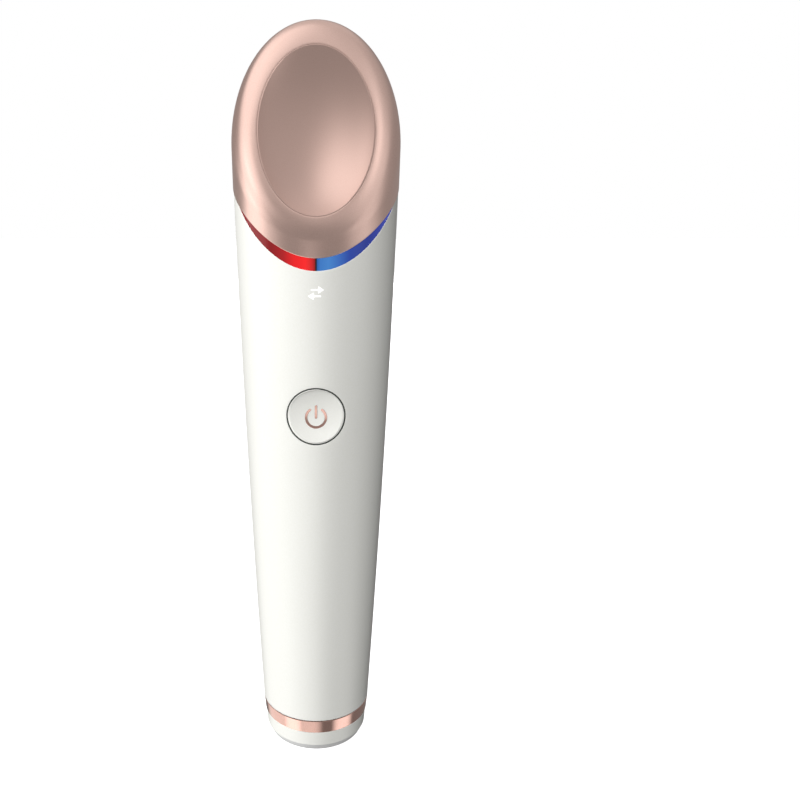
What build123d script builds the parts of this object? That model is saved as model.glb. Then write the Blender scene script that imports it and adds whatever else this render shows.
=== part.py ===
from build123d import *

import os
from math import cos, floor, hypot, radians, sin, sqrt, tan

# Heated and cooled eye massager wand, in millimetres, standing on its base.
# +Z runs up the handle, the dish and the button face -Y, and the origin is the centre of the foot.

# handle skin: one shallow barrel curve from the trim ring to the back of the head
foot_r = 12.25
crown_z = 136.0
crown_r = 17.1
skin_bow = 0.53
skin_stretches = 6
wall = 1.8
edge_break = 0.15

# base: soft foot, cap and trim ring
foot_pad_height = 1.6
foot_bevel = 0.8
cap_height = 3.35
cap_taper = 0.25
cap_step = 0.15
cap_floor = 2.6
cap_spigot_length = 4.8
cap_spigot_wall = 1.75
ring_height = 3.25
ring_taper = 0.3
ring_gap = 0.1

# head: slanted face, round rim and the seam that sweeps down to the front
slant_angle = 57.85
slant_axis_z = 142.1
rim_round = 4.5
head_proud = 0.15
head_tuck = 0.17
seam_front_z = 107.4
seam_axis_z = 124.85
seam_back_z = 129.2
seam_margin = 1.9
head_top_z = 176.0
pocket_depth = 6.0
pocket_floor = 1.5
head_spigot_wall = 1.2
head_spigot_low_z = 97.0

# crescent light guide between the seam and the top edge of the handle
guide_drop = 2.95
guide_lift = 2.57
guide_back_lift = 12.36
guide_recess = 0.04
divider_width = 0.3
divider_height = 7.9
lamp_window_half = 9.0
lamp_window_y = -8.0

# concave contact dish in the slanted face
dish_half_width = 11.66
dish_half_length = 20.2
dish_offset = -7.7
dish_lip = 0.25
dish_gap = 0.08
bowl_depth = 4.6
bowl_lift = 3.0

# heat pump stack behind the dish
pad_side = 12.0
pad_thickness = 0.4
pump_thickness = 2.6
pump_plate = 0.6
pump_leg = 0.9
pump_rows = 5
sink_half_width = 10.4
sink_half_length = 6.0
sink_base = 1.8
sink_screw_x = 8.4
sink_screw_bite = 1.8
sink_boss_r = 1.9
fin_count = 6
fin_thickness = 0.9
fin_half_span = 5.6
fin_height = 4.0
sensor_r = 1.0
sensor_height = 1.2
sensor_offset = 9.0

# button
button_z = 79.6
button_hole_r = 5.95
button_gap = 0.28
button_travel = 0.5
button_sink = 0.05
button_land = 0.42
button_hollow = 1.24
hollow_ball_r = 6.0
flange_r = 6.9
flange_thickness = 0.8
flange_gap = 0.1
stem_r = 1.5
stem_length = 0.44
stem_gap = 0.01
symbol_r = 2.17
symbol_stroke = 0.48
symbol_drop = 0.2
symbol_gap_angle = 60.0
symbol_bar_top = 2.38
symbol_bar_length = 2.75
symbol_depth = 0.3

# circuit board and what stands on it
board_thickness = 1.0
board_width = 14.5
board_corner_r = 1.0
board_rise = 1.0
switch_side = 5.2
switch_height = 2.2
plunger_r = 1.2
plunger_proud = 0.6
plunger_gap = 0.05
plunger_depth = 0.85
lamp_x = 2.7
lamp_rise = 3.95
lamp_side = 2.2
lamp_height = 1.0
lamp_dome = 0.5
lamp_margin = 3.1
boot_r = 4.8
boot_wall = 0.7
boot_bulge = 0.7

# charger, driver, lead plug and controller: height up the handle, width, length and rise off the board
chips = (
    (27.0, 5.0, 5.0, 0.9),
    (38.0, 7.0, 7.0, 1.2),
    (52.0, 9.0, 4.0, 3.2),
    (66.0, 4.0, 3.0, 1.5),
)

# inner frame
frame_gap = 0.15
frame_wall = 1.2
frame_front_y = -2.0
frame_rise = 1.0
foot_deck_rise = 2.0
foot_deck_height = 4.6
rib_rises = (15.0, 33.0)
rib_height = 2.0
cell_deck_height = 2.0
screw_deck_rise = 6.4
screw_deck_height = 4.0
motor_deck_height = 1.5

# battery cell
cell_r = 7.0
cell_length = 50.0
cell_gap = 0.1
cell_web = 0.9
cell_headroom = 0.7
cell_edge = 0.3
tab_width = 5.0
tab_thickness = 0.3

# vibration motor
motor_y = 2.5
motor_r = 3.5
motor_low_z = 101.0
motor_length = 11.0
motor_proud = 1.0
sleeve_wall = 0.9
sleeve_setback = 0.6
sleeve_lip = 0.4
shaft_r = 0.5
shaft_reach = 6.6
shaft_gap = 0.05
bearing_depth = 4.0
weight_r = 3.0
weight_hub_r = 1.0
weight_setback = 0.6
weight_height = 4.5
weight_gap = 0.02

# charging contacts and their board
contact_x = 3.2
contact_r = 1.5
contact_pin_r = 0.8
contact_pin_proud = 0.15
contact_recess = 0.2
contact_head = 2.2
contact_gap = 0.05
contact_boss_r = 2.2
charge_board_gap = 0.6
charge_board_thickness = 1.0
charge_board_notch = 4.0

# fasteners
screw_r = 0.9
screw_head_r = 1.7
screw_head_height = 0.9
screw_gap = 0.05
screw_end_room = 1.0
base_screw_x = 6.4
base_screw_y = 2.2
board_screw_x = 5.2
board_screw_bite = 4.0
head_screw_y = 3.5
head_boss_r = 2.7
head_boss_height = 9.0
head_boss_bite = 0.4

# square-cut seals
seal_side = 0.84
seal_gap = 0.05
seal_groove = 1.1
seal_setback = 2.4

# heights that stack up from the floor
cap_top_z = foot_pad_height + cap_height
foot_z = cap_top_z + ring_height
base_seal_z = foot_z + seal_setback
spigot_top_z = foot_z + cap_spigot_length
charge_board_z = spigot_top_z - charge_board_thickness
frame_low_z = spigot_top_z + frame_rise
board_low_z = frame_low_z + board_rise
foot_deck_z = frame_low_z + foot_deck_rise
foot_deck_top_z = foot_deck_z + foot_deck_height
cell_low_z = foot_deck_top_z + cell_gap + tab_thickness
cell_top_z = cell_low_z + cell_length
cell_deck_z = cell_top_z + tab_thickness + cell_headroom
screw_deck_z = button_z + screw_deck_rise
screw_deck_top_z = screw_deck_z + screw_deck_height
board_screw_zs = (foot_deck_z + foot_deck_height / 2, screw_deck_z + screw_deck_height / 2)
frame_high_z = head_spigot_low_z - frame_rise
head_seal_z = head_spigot_low_z + seal_setback
lamp_window_low_z = head_seal_z + seal_groove
guide_front_z = seam_front_z - guide_drop
guide_axis_z = seam_axis_z + guide_lift
guide_back_z = seam_back_z + guide_back_lift
lamp_z = guide_front_z + lamp_rise
board_high_z = lamp_z + lamp_margin
lamp_window_top_z = board_high_z + board_rise
motor_top_z = motor_low_z + motor_length
sleeve_low_z = motor_low_z + sleeve_setback
sleeve_length = motor_length - 2 * sleeve_setback
shaft_low_z = motor_low_z - shaft_reach
weight_low_z = shaft_low_z + weight_setback
column_top_z = motor_top_z - motor_proud
motor_deck_zs = (sleeve_low_z + sleeve_lip, column_top_z - motor_deck_height)
head_boss_top_z = column_top_z + head_boss_height

# radii and insets
cap_spigot_r = foot_r - wall - ring_gap
ring_low_r = foot_r - ring_taper
cap_high_r = ring_low_r - cap_step
cap_low_r = cap_high_r - cap_taper
foot_pad_rest_r = cap_low_r - foot_bevel
charge_board_r = cap_spigot_r - cap_spigot_wall - charge_board_gap
spigot_inset = wall + ring_gap
cavity_inset = spigot_inset + head_spigot_wall
frame_inset = wall + frame_gap
column_inset = cavity_inset + frame_gap
sleeve_r = motor_r + sleeve_wall
button_r = button_hole_r - button_gap
seam_reach = crown_r + seam_margin

# depths below the slanted face
pump_depth = pocket_depth + pad_thickness
sink_depth = pump_depth + pump_thickness
boss_depth = pocket_depth + pocket_floor

slant_plane = Plane(
    origin=(0, 0, slant_axis_z),
    x_dir=(1, 0, 0),
    z_dir=(0, -sin(radians(slant_angle)), cos(radians(slant_angle))),
)

# circle of the handle skin, from its chord and bow
skin_span = crown_z - foot_z
skin_lean = crown_r - foot_r
skin_chord = hypot(skin_span, skin_lean)
skin_arc_r = skin_chord**2 / (8 * skin_bow) + skin_bow / 2
skin_centre_r = (foot_r + crown_r) / 2 - (skin_arc_r - skin_bow) * skin_span / skin_chord
skin_centre_z = (foot_z + crown_z) / 2 + (skin_arc_r - skin_bow) * skin_lean / skin_chord

# the circle is so shallow that straight stretches between these heights keep within 0.02 of it
skin_step = skin_span / skin_stretches
skin_station_zs = [foot_z + skin_step * count for count in range(1, skin_stretches)]

# wider than the wand, for cutters that run right out of it
clear_span = 40.0


def circle_radius(z):
    # distance from the axis to the circle of the skin at height z
    return skin_centre_r + sqrt(skin_arc_r**2 - (z - skin_centre_z) ** 2)


def skin_radius(z):
    # outer radius of the handle at height z, on the straight stretch between two stations
    low = foot_z + skin_step * floor((z - foot_z) / skin_step)
    slope = (circle_radius(low + skin_step) - circle_radius(low)) / skin_step
    return circle_radius(low) + slope * (z - low)


def skin_solid(inset, low, high):
    # solid of revolution under the handle skin, moved inwards by inset, between two heights
    heights = [low] + [z for z in skin_station_zs if low < z < high] + [high]
    with BuildPart() as blank:
        with BuildSketch(Plane.XZ):
            with BuildLine():
                Polyline(
                    (0, low), *[(skin_radius(z) - inset, z) for z in heights], (0, high), close=True
                )
            make_face()
        revolve(axis=Axis.Z)
    return blank.part


def skin_tube(inset, thickness, low, high):
    # tube whose outer face follows the handle skin
    with BuildPart() as tube:
        add(skin_solid(inset, low, high))
        add(skin_solid(inset + thickness, low, high), mode=Mode.SUBTRACT)
    return tube.part


def round_pin(x, y, low, high, radius):
    # upright cylinder
    with BuildPart() as pin:
        with BuildSketch(Plane.XY.offset(low)):
            with Locations((x, y)):
                Circle(radius)
        extrude(amount=high - low)
    return pin.part


def slant_block(depth, thickness, half_width, half_length, offset):
    # rectangular block parallel to the slanted face, starting at a depth below it
    with BuildPart() as block:
        with BuildSketch(slant_plane.offset(-depth)):
            with Locations((0, offset)):
                Rectangle(2 * half_width, 2 * half_length)
        extrude(amount=-thickness)
    return block.part


def finish_part(solid, name):
    solid.label = name
    export_step(solid, f"parts/{name}.step")


os.makedirs("parts", exist_ok=True)


# side-view cutters: everything above the head seam, and everything above the handle's front edge
def cut_above(front_z, axis_z, back_z):
    # all that lies above an arc swept across the wand from front to back
    with BuildPart() as cutter:
        with BuildSketch(Plane.YZ):
            with BuildLine():
                ThreePointArc((-seam_reach, front_z), (0, axis_z), (seam_reach, back_z))
                Polyline(
                    (seam_reach, back_z),
                    (seam_reach, head_top_z),
                    (-seam_reach, head_top_z),
                    (-seam_reach, front_z),
                )
            make_face()
        extrude(amount=clear_span, both=True)
    return cutter.part


above_seam = cut_above(seam_front_z, seam_axis_z, seam_back_z)
above_guide = cut_above(guide_front_z, guide_axis_z, guide_back_z)

# ellipsoids are stretched from this ball, whose poles lie to the left and right, clear of each hollow
unit_ball = Rotation(0, 90, 0) * Sphere(1)

# the hollow of the button: an ellipsoid that dips the same amount all round a circular land
hollow_r = button_r - button_land
button_skin_r = skin_radius(button_z)
button_side_sag = button_hollow - button_skin_r + sqrt(button_skin_r**2 - hollow_r**2)
hollow_side_rise = 1 - button_side_sag / hollow_ball_r
hollow_end_rise = 1 - button_hollow / hollow_ball_r
hollow_x = hollow_r / sqrt(1 - hollow_side_rise**2)
hollow_z = hollow_r / sqrt(1 - hollow_end_rise**2)
hollow_deepest_y = -button_skin_r + button_hollow
button_hollow_cutter = Pos(0, hollow_deepest_y - hollow_ball_r, button_z) * scale(
    unit_ball, by=(hollow_x, hollow_ball_r, hollow_z)
)

# the flange behind the button comes as near the inside of the handle as its gap allows
# the stem, the switch, the board and the cell follow it along Y
flange_front_y = flange_gap - sqrt((button_skin_r - wall) ** 2 - flange_r**2)
flange_back_y = flange_front_y + flange_thickness
plunger_tip_y = flange_back_y + stem_length
switch_top_y = plunger_tip_y + plunger_proud
board_front_y = switch_top_y + switch_height
board_back_y = board_front_y + board_thickness
lamp_base_y = board_front_y - lamp_height
cell_y = board_back_y + cell_web + cell_gap + cell_r

# the head screws stand as far out as their bosses can while they stay joined to the wall of the head
head_boss_reach = skin_radius(column_top_z) - cavity_inset + head_boss_bite - head_boss_r
head_screw_x = sqrt(head_boss_reach**2 - head_screw_y**2)

# the bowl of the dish: part of an ellipsoid whose centre floats above the slanted face
bowl_height = bowl_depth + bowl_lift
bowl_share = sqrt(1 - (bowl_lift / bowl_height) ** 2)
bowl_half_width = (dish_half_width - dish_lip) / bowl_share
bowl_half_length = (dish_half_length - dish_lip) / bowl_share
bowl_cutter = (
    slant_plane.location
    * Pos(0, dish_offset, bowl_lift)
    * scale(unit_ball, by=(bowl_half_width, bowl_half_length, bowl_height))
)

# handle_shell: tapered tube, cut off along the seam and the light guide, with the button hole
with BuildPart() as handle_shell:
    add(skin_tube(0, wall, foot_z, crown_z))
    add(above_seam, mode=Mode.SUBTRACT)
    add(above_guide, mode=Mode.SUBTRACT)
    with BuildSketch(Plane.XZ):
        with Locations((0, button_z)):
            Circle(button_hole_r)
    extrude(amount=clear_span, mode=Mode.SUBTRACT)
finish_part(handle_shell.part, "handle_shell")

# head_shroud: cone blank with a slanted round-rimmed face, a spigot and the pocket for the dish
head_low_r = skin_radius(seam_front_z) + head_proud
head_high_r = skin_radius(seam_back_z) + head_proud - head_tuck
head_taper = (head_high_r - head_low_r) / (seam_back_z - seam_front_z)
with BuildPart() as head_spigot:
    add(skin_solid(spigot_inset, head_spigot_low_z, crown_z))
    split(bisect_by=slant_plane.offset(-pocket_depth), keep=Keep.BOTTOM)

with BuildPart() as head_cavity:
    add(skin_solid(cavity_inset, head_spigot_low_z, crown_z))
    add(round_pin(0, 0, crown_z, head_top_z, skin_radius(crown_z) - cavity_inset))
    split(bisect_by=slant_plane.offset(-boss_depth), keep=Keep.BOTTOM)

with BuildPart() as lamp_window:
    add(skin_solid(wall + ring_gap / 2, lamp_window_low_z, lamp_window_top_z))
    with BuildSketch(Plane.XY.offset(lamp_window_low_z)):
        with Locations((0, lamp_window_y)):
            Rectangle(2 * lamp_window_half, clear_span, align=(Align.CENTER, Align.MAX))
    extrude(amount=clear_span, mode=Mode.INTERSECT)

with BuildPart() as head_shroud:
    # a slimmer cone with a sharp slanted end, grown outwards so that a ball has rolled round its rim
    with BuildSketch(Plane.XZ):
        with BuildLine():
            Polyline(
                (0, head_spigot_low_z),
                (head_low_r - rim_round, head_spigot_low_z),
                (head_high_r - rim_round + head_taper * (head_top_z - seam_back_z), head_top_z),
                (0, head_top_z),
                close=True,
            )
        make_face()
    revolve(axis=Axis.Z)
    split(bisect_by=slant_plane.offset(-rim_round), keep=Keep.BOTTOM)
    offset(amount=rim_round, kind=Kind.ARC)
    add(above_seam, mode=Mode.INTERSECT)
    add(head_spigot.part)
    add(head_cavity.part, mode=Mode.SUBTRACT)
    add(lamp_window.part, mode=Mode.SUBTRACT)
    with BuildSketch(slant_plane):
        with Locations((0, dish_offset)):
            Ellipse(dish_half_width + dish_gap, dish_half_length + dish_gap)
    extrude(amount=-pocket_depth, mode=Mode.SUBTRACT)
    window_half = pad_side / 2 + screw_gap
    add(
        slant_block(pocket_depth, pocket_floor, window_half, window_half, dish_offset),
        mode=Mode.SUBTRACT,
    )
    with BuildSketch(slant_plane.offset(-boss_depth)):
        with Locations((sink_screw_x, dish_offset), (-sink_screw_x, dish_offset)):
            Circle(sink_boss_r)
    extrude(amount=-(sink_depth - boss_depth))
    with BuildSketch(slant_plane.offset(-sink_depth)):
        with Locations((sink_screw_x, dish_offset), (-sink_screw_x, dish_offset)):
            Circle(screw_r + screw_gap)
    extrude(amount=sink_screw_bite, mode=Mode.SUBTRACT)
    for x in (-head_screw_x, head_screw_x):
        add(round_pin(x, head_screw_y, column_top_z, head_boss_top_z, head_boss_r))
        add(
            round_pin(
                x, head_screw_y, column_top_z, head_boss_top_z - screw_end_room / 2, screw_r + screw_gap
            ),
            mode=Mode.SUBTRACT,
        )
    head_groove_r = skin_radius(head_seal_z) - wall - 2 * seal_gap - seal_side
    with BuildSketch(Plane.XZ):
        with Locations((head_groove_r, head_seal_z)):
            Rectangle(spigot_inset, seal_groove, align=(Align.MIN, Align.CENTER))
    revolve(axis=Axis.Z, mode=Mode.SUBTRACT)
finish_part(head_shroud.part, "head_shroud")

# thermal_dish: oval plate with the bowl in its face and a blind seat for the sensor in its back
with BuildPart() as thermal_dish:
    with BuildSketch(slant_plane):
        with Locations((0, dish_offset)):
            Ellipse(dish_half_width, dish_half_length)
    extrude(amount=-pocket_depth)
    add(bowl_cutter, mode=Mode.SUBTRACT)
    with BuildSketch(slant_plane.offset(-pocket_depth)):
        with Locations((0, dish_offset + sensor_offset)):
            Circle(sensor_r + screw_gap)
    extrude(amount=sensor_height, mode=Mode.SUBTRACT)
finish_part(thermal_dish.part, "thermal_dish")

with BuildPart() as temperature_sensor:
    with BuildSketch(slant_plane.offset(-pocket_depth)):
        with Locations((0, dish_offset + sensor_offset)):
            Circle(sensor_r)
    extrude(amount=sensor_height - screw_gap)
finish_part(temperature_sensor.part, "temperature_sensor")

# thermal_pad: soft sheet between the dish and the heat pump
with BuildPart() as thermal_pad:
    add(slant_block(pocket_depth, pad_thickness, pad_side / 2, pad_side / 2, dish_offset))
finish_part(thermal_pad.part, "thermal_pad")

# heat_pump: two ceramic plates with rows of semiconductor legs between them
with BuildPart() as heat_pump:
    add(slant_block(pump_depth, pump_plate, pad_side / 2, pad_side / 2, dish_offset))
    add(
        slant_block(
            sink_depth - pump_plate, pump_plate, pad_side / 2, pad_side / 2, dish_offset
        )
    )
    leg_pitch = (pad_side - pump_leg) / pump_rows
    with BuildSketch(slant_plane.offset(-pump_depth - pump_plate)):
        with Locations((0, dish_offset)):
            with GridLocations(leg_pitch, leg_pitch, pump_rows, pump_rows):
                Rectangle(pump_leg, pump_leg)
    extrude(amount=-(pump_thickness - 2 * pump_plate))
finish_part(heat_pump.part, "heat_pump")

# heat_sink: base plate screwed under the heat pump, with fins that give its heat to the air
with BuildPart() as heat_sink:
    add(slant_block(sink_depth, sink_base, sink_half_width, sink_half_length, dish_offset))
    fin_pitch = (2 * fin_half_span - fin_thickness) / (fin_count - 1)
    with BuildSketch(slant_plane.offset(-sink_depth - sink_base)):
        with Locations((0, dish_offset)):
            with GridLocations(fin_pitch, 0, fin_count, 1):
                Rectangle(fin_thickness, 2 * sink_half_length)
    extrude(amount=-fin_height)
    with BuildSketch(slant_plane.offset(-sink_depth)):
        with Locations((sink_screw_x, dish_offset), (-sink_screw_x, dish_offset)):
            Circle(screw_r + screw_gap)
    extrude(amount=-sink_base, mode=Mode.SUBTRACT)
finish_part(heat_sink.part, "heat_sink")

# warm_light_guide, cool_light_guide and light_divider: the two halves of the crescent and the wall between
def crescent_band(inner_inset):
    # the strip of handle wall between the top edge of the handle and the head seam
    with BuildPart() as band:
        add(skin_tube(guide_recess, inner_inset - guide_recess, head_spigot_low_z, crown_z))
        add(above_guide, mode=Mode.INTERSECT)
        add(above_seam, mode=Mode.SUBTRACT)
    return band.part


for name, sign in (("warm_light_guide", -1), ("cool_light_guide", 1)):
    with BuildPart() as light_guide:
        add(crescent_band(wall))
        with BuildSketch(Plane.YZ.offset(sign * divider_width / 2)):
            with Locations((0, seam_axis_z)):
                Rectangle(2 * clear_span, 2 * clear_span)
        extrude(amount=sign * clear_span, mode=Mode.INTERSECT)
    finish_part(light_guide.part, name)

divider_top_z = lamp_window_top_z - ring_gap
with BuildPart() as divider_foot:
    add(skin_solid(wall + ring_gap / 2, divider_top_z - divider_height, divider_top_z))
    with BuildSketch(Plane.XY.offset(divider_top_z - divider_height)):
        with Locations((0, board_front_y)):
            Rectangle(clear_span, clear_span, align=(Align.CENTER, Align.MAX))
    extrude(amount=clear_span, mode=Mode.INTERSECT)

with BuildPart() as light_divider:
    add(crescent_band(spigot_inset))
    add(divider_foot.part)
    with BuildSketch(Plane.YZ):
        with Locations((0, seam_axis_z)):
            Rectangle(2 * clear_span, 2 * clear_span)
    extrude(amount=divider_width / 2, both=True, mode=Mode.INTERSECT)
finish_part(light_divider.part, "light_divider")

# power_button: its land follows the handle skin and its face is hollowed, with a flange and a stem behind
with BuildPart() as power_symbol:
    with BuildSketch(Plane.XZ):
        with Locations((0, button_z - symbol_drop)):
            Circle(symbol_r)
            Circle(symbol_r - symbol_stroke, mode=Mode.SUBTRACT)
        with BuildLine():
            gap_reach = 2 * symbol_r
            Polyline(
                (0, button_z - symbol_drop),
                (gap_reach * tan(radians(symbol_gap_angle / 2)), button_z - symbol_drop + gap_reach),
                (-gap_reach * tan(radians(symbol_gap_angle / 2)), button_z - symbol_drop + gap_reach),
                close=True,
            )
        make_face(mode=Mode.SUBTRACT)
        with Locations((0, button_z + symbol_bar_top - symbol_bar_length / 2)):
            SlotOverall(symbol_bar_length, symbol_stroke, rotation=90)
    extrude(amount=button_skin_r)
    add(button_hollow_cutter, mode=Mode.SUBTRACT)
    with BuildSketch(Plane.XZ.offset(-hollow_deepest_y - symbol_depth)):
        with Locations((0, button_z)):
            Circle(button_r)
    extrude(amount=clear_span, mode=Mode.INTERSECT)

with BuildPart() as power_button:
    with BuildSketch(Plane.XZ.offset(-flange_front_y)):
        with Locations((0, button_z)):
            Circle(button_r)
    extrude(amount=clear_span)
    add(
        skin_solid(button_sink, button_z - flange_r, button_z + flange_r),
        mode=Mode.INTERSECT,
    )
    add(button_hollow_cutter, mode=Mode.SUBTRACT)
    with BuildSketch(Plane.XZ.offset(-flange_back_y)):
        with Locations((0, button_z)):
            Circle(flange_r)
    extrude(amount=flange_back_y - flange_front_y)
    with BuildSketch(Plane.XZ.offset(-plunger_tip_y)):
        with Locations((0, button_z)):
            Circle(stem_r)
    extrude(amount=plunger_tip_y - flange_back_y)
    add(power_symbol.part, mode=Mode.SUBTRACT)
finish_part(power_symbol.part, "power_symbol")
finish_part(power_button.part, "power_button")

# button_boot: silicone bellows with one fold that seals round the switch and pushes the button back
boot_middle_y = (board_front_y + flange_back_y) / 2
with BuildPart() as button_boot:
    with BuildSketch(Plane.XY.offset(button_z)):
        with BuildLine():
            Polyline(
                (boot_r, board_front_y),
                (boot_r + boot_bulge, boot_middle_y),
                (boot_r, flange_back_y),
                (boot_r - boot_wall, flange_back_y),
                (boot_r - boot_wall + boot_bulge, boot_middle_y),
                (boot_r - boot_wall, board_front_y),
                close=True,
            )
        make_face()
    revolve(axis=Axis((0, 0, button_z), (0, 1, 0)))
finish_part(button_boot.part, "button_boot")

# switch_body and switch_plunger: the tact switch under the button's stem
with BuildPart() as switch_body:
    with BuildSketch(Plane.XZ.offset(-board_front_y)):
        with Locations((0, button_z)):
            RectangleRounded(switch_side, switch_side, edge_break)
    extrude(amount=switch_height)
    with BuildSketch(Plane.XZ.offset(-switch_top_y)):
        with Locations((0, button_z)):
            Circle(plunger_r + plunger_gap)
    extrude(amount=-(plunger_depth + button_travel + plunger_gap), mode=Mode.SUBTRACT)
finish_part(switch_body.part, "switch_body")

with BuildPart() as switch_plunger:
    with BuildSketch(Plane.XZ.offset(-plunger_tip_y - stem_gap)):
        with Locations((0, button_z)):
            Circle(plunger_r)
    extrude(amount=-(plunger_proud + plunger_depth - stem_gap))
    chamfer(switch_plunger.edges().sort_by(Axis.Y)[0], length=edge_break)
finish_part(switch_plunger.part, "switch_plunger")

# main_board: long circuit board screwed to the front of the inner frame
board_length = board_high_z - board_low_z
with BuildPart() as main_board:
    with BuildSketch(Plane.XZ.offset(-board_back_y)):
        with Locations((0, (board_low_z + board_high_z) / 2)):
            RectangleRounded(board_width, board_length, board_corner_r)
        for z in board_screw_zs:
            with Locations((-board_screw_x, z), (board_screw_x, z)):
                Circle(screw_r + screw_gap, mode=Mode.SUBTRACT)
    extrude(amount=board_thickness)
finish_part(main_board.part, "main_board")

# board_chips: the four large components on the front of the board
with BuildPart() as board_chips:
    for chip_z, chip_width, chip_length, chip_rise in chips:
        with BuildSketch(Plane.XZ.offset(-board_front_y)):
            with Locations((0, chip_z)):
                Rectangle(chip_width, chip_length)
        extrude(amount=chip_rise)
finish_part(board_chips.part, "board_chips")

# warm_lamp and cool_lamp: the lamps behind the two halves of the crescent
for name, sign in (("warm_lamp", -1), ("cool_lamp", 1)):
    with BuildPart() as lamp:
        with BuildSketch(Plane.XZ.offset(-board_front_y)):
            with Locations((sign * lamp_x, lamp_z)):
                Rectangle(lamp_side, lamp_side)
        extrude(amount=lamp_height)
        with BuildSketch(Plane.XZ.offset(-lamp_base_y)):
            with Locations((sign * lamp_x, lamp_z)):
                Circle(lamp_side / 2 - edge_break)
        extrude(amount=lamp_dome, taper=25)
    finish_part(lamp.part, name)

# inner_frame: tray that follows the inside of the handle, with decks for the cell, the board and the motor
def frame_bay(inset, low, high):
    # hollow between two decks, open to the front
    with BuildPart() as bay:
        add(skin_solid(inset + frame_wall, low, high))
        with BuildSketch(Plane.XY.offset(low)):
            with Locations((0, frame_front_y)):
                Rectangle(clear_span, clear_span, align=(Align.CENTER, Align.MAX))
        extrude(amount=high - low)
    return bay.part


decks = [(foot_deck_z, foot_deck_height)]
decks += [(cell_low_z + rise, rib_height) for rise in rib_rises]
decks += [(cell_deck_z, cell_deck_height), (screw_deck_z, screw_deck_height)]
decks += [(z, motor_deck_height) for z in motor_deck_zs]
bay_low_zs = [frame_low_z] + [z + height for z, height in decks]
head_screw_seat_z = motor_deck_zs[-1]
with BuildPart() as inner_frame:
    add(skin_solid(frame_inset, frame_low_z, frame_high_z))
    add(skin_solid(column_inset, frame_high_z, column_top_z))
    with BuildSketch(Plane.XY.offset(frame_low_z)):
        with Locations((0, board_back_y)):
            Rectangle(clear_span, clear_span, align=(Align.CENTER, Align.MIN))
    extrude(amount=column_top_z - frame_low_z, mode=Mode.INTERSECT)
    for low, (high, _) in zip(bay_low_zs, decks):
        inset = frame_inset if high <= screw_deck_z else column_inset
        add(frame_bay(inset, low, high), mode=Mode.SUBTRACT)
    add(
        round_pin(0, cell_y, foot_deck_top_z, cell_deck_z, cell_r + cell_gap),
        mode=Mode.SUBTRACT,
    )
    add(
        round_pin(0, motor_y, screw_deck_top_z, column_top_z, sleeve_r + screw_gap),
        mode=Mode.SUBTRACT,
    )
    for x in (-base_screw_x, base_screw_x):
        add(
            round_pin(x, base_screw_y, frame_low_z, foot_deck_top_z, screw_r + screw_gap),
            mode=Mode.SUBTRACT,
        )
    for x in (-head_screw_x, head_screw_x):
        add(
            round_pin(x, head_screw_y, head_screw_seat_z, column_top_z, screw_r + screw_gap),
            mode=Mode.SUBTRACT,
        )
        add(
            round_pin(x, head_screw_y, screw_deck_top_z, head_screw_seat_z, screw_head_r + screw_gap),
            mode=Mode.SUBTRACT,
        )
    with BuildSketch(Plane.XZ.offset(-board_back_y)):
        for z in board_screw_zs:
            with Locations((-board_screw_x, z), (board_screw_x, z)):
                Circle(screw_r + screw_gap)
    extrude(amount=-(board_screw_bite + screw_end_room), mode=Mode.SUBTRACT)
finish_part(inner_frame.part, "inner_frame")

# battery_cell, and the two nickel tabs that reach from its ends to the board
with BuildPart() as battery_cell:
    with BuildSketch(Plane.XY.offset(cell_low_z)):
        with Locations((0, cell_y)):
            Circle(cell_r)
    extrude(amount=cell_length)
    chamfer(battery_cell.edges(), length=cell_edge)
finish_part(battery_cell.part, "battery_cell")

tab_reach = cell_y - board_back_y + tab_width / 2
with BuildPart() as battery_tabs:
    for z in (cell_low_z - tab_thickness, cell_top_z):
        with BuildSketch(Plane.XY.offset(z)):
            with Locations((0, board_back_y)):
                Rectangle(tab_width, tab_reach, align=(Align.CENTER, Align.MIN))
        extrude(amount=tab_thickness)
finish_part(battery_tabs.part, "battery_tabs")

# vibration motor: can, rubber sleeve, shaft and half-round weight
with BuildPart() as motor_can:
    with BuildSketch(Plane.XY.offset(motor_low_z)):
        with Locations((0, motor_y)):
            Circle(motor_r)
    extrude(amount=motor_length)
    chamfer(motor_can.edges(), length=edge_break)
    add(
        round_pin(0, motor_y, motor_low_z, motor_low_z + bearing_depth, shaft_r + shaft_gap),
        mode=Mode.SUBTRACT,
    )
finish_part(motor_can.part, "motor_can")

with BuildPart() as motor_sleeve:
    with BuildSketch(Plane.XY.offset(sleeve_low_z)):
        with Locations((0, motor_y)):
            Circle(sleeve_r)
            Circle(motor_r + shaft_gap, mode=Mode.SUBTRACT)
    extrude(amount=sleeve_length)
finish_part(motor_sleeve.part, "motor_sleeve")

with BuildPart() as motor_shaft:
    add(round_pin(0, motor_y, shaft_low_z, motor_low_z + bearing_depth - shaft_gap, shaft_r))
finish_part(motor_shaft.part, "motor_shaft")

with BuildPart() as motor_weight:
    with BuildSketch(Plane.XY.offset(weight_low_z)):
        with Locations((0, motor_y)):
            Circle(weight_r)
            Rectangle(2 * weight_r, weight_r, align=(Align.CENTER, Align.MAX), mode=Mode.SUBTRACT)
            Circle(weight_hub_r)
            Circle(shaft_r + weight_gap, mode=Mode.SUBTRACT)
    extrude(amount=weight_height)
finish_part(motor_weight.part, "motor_weight")

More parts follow.
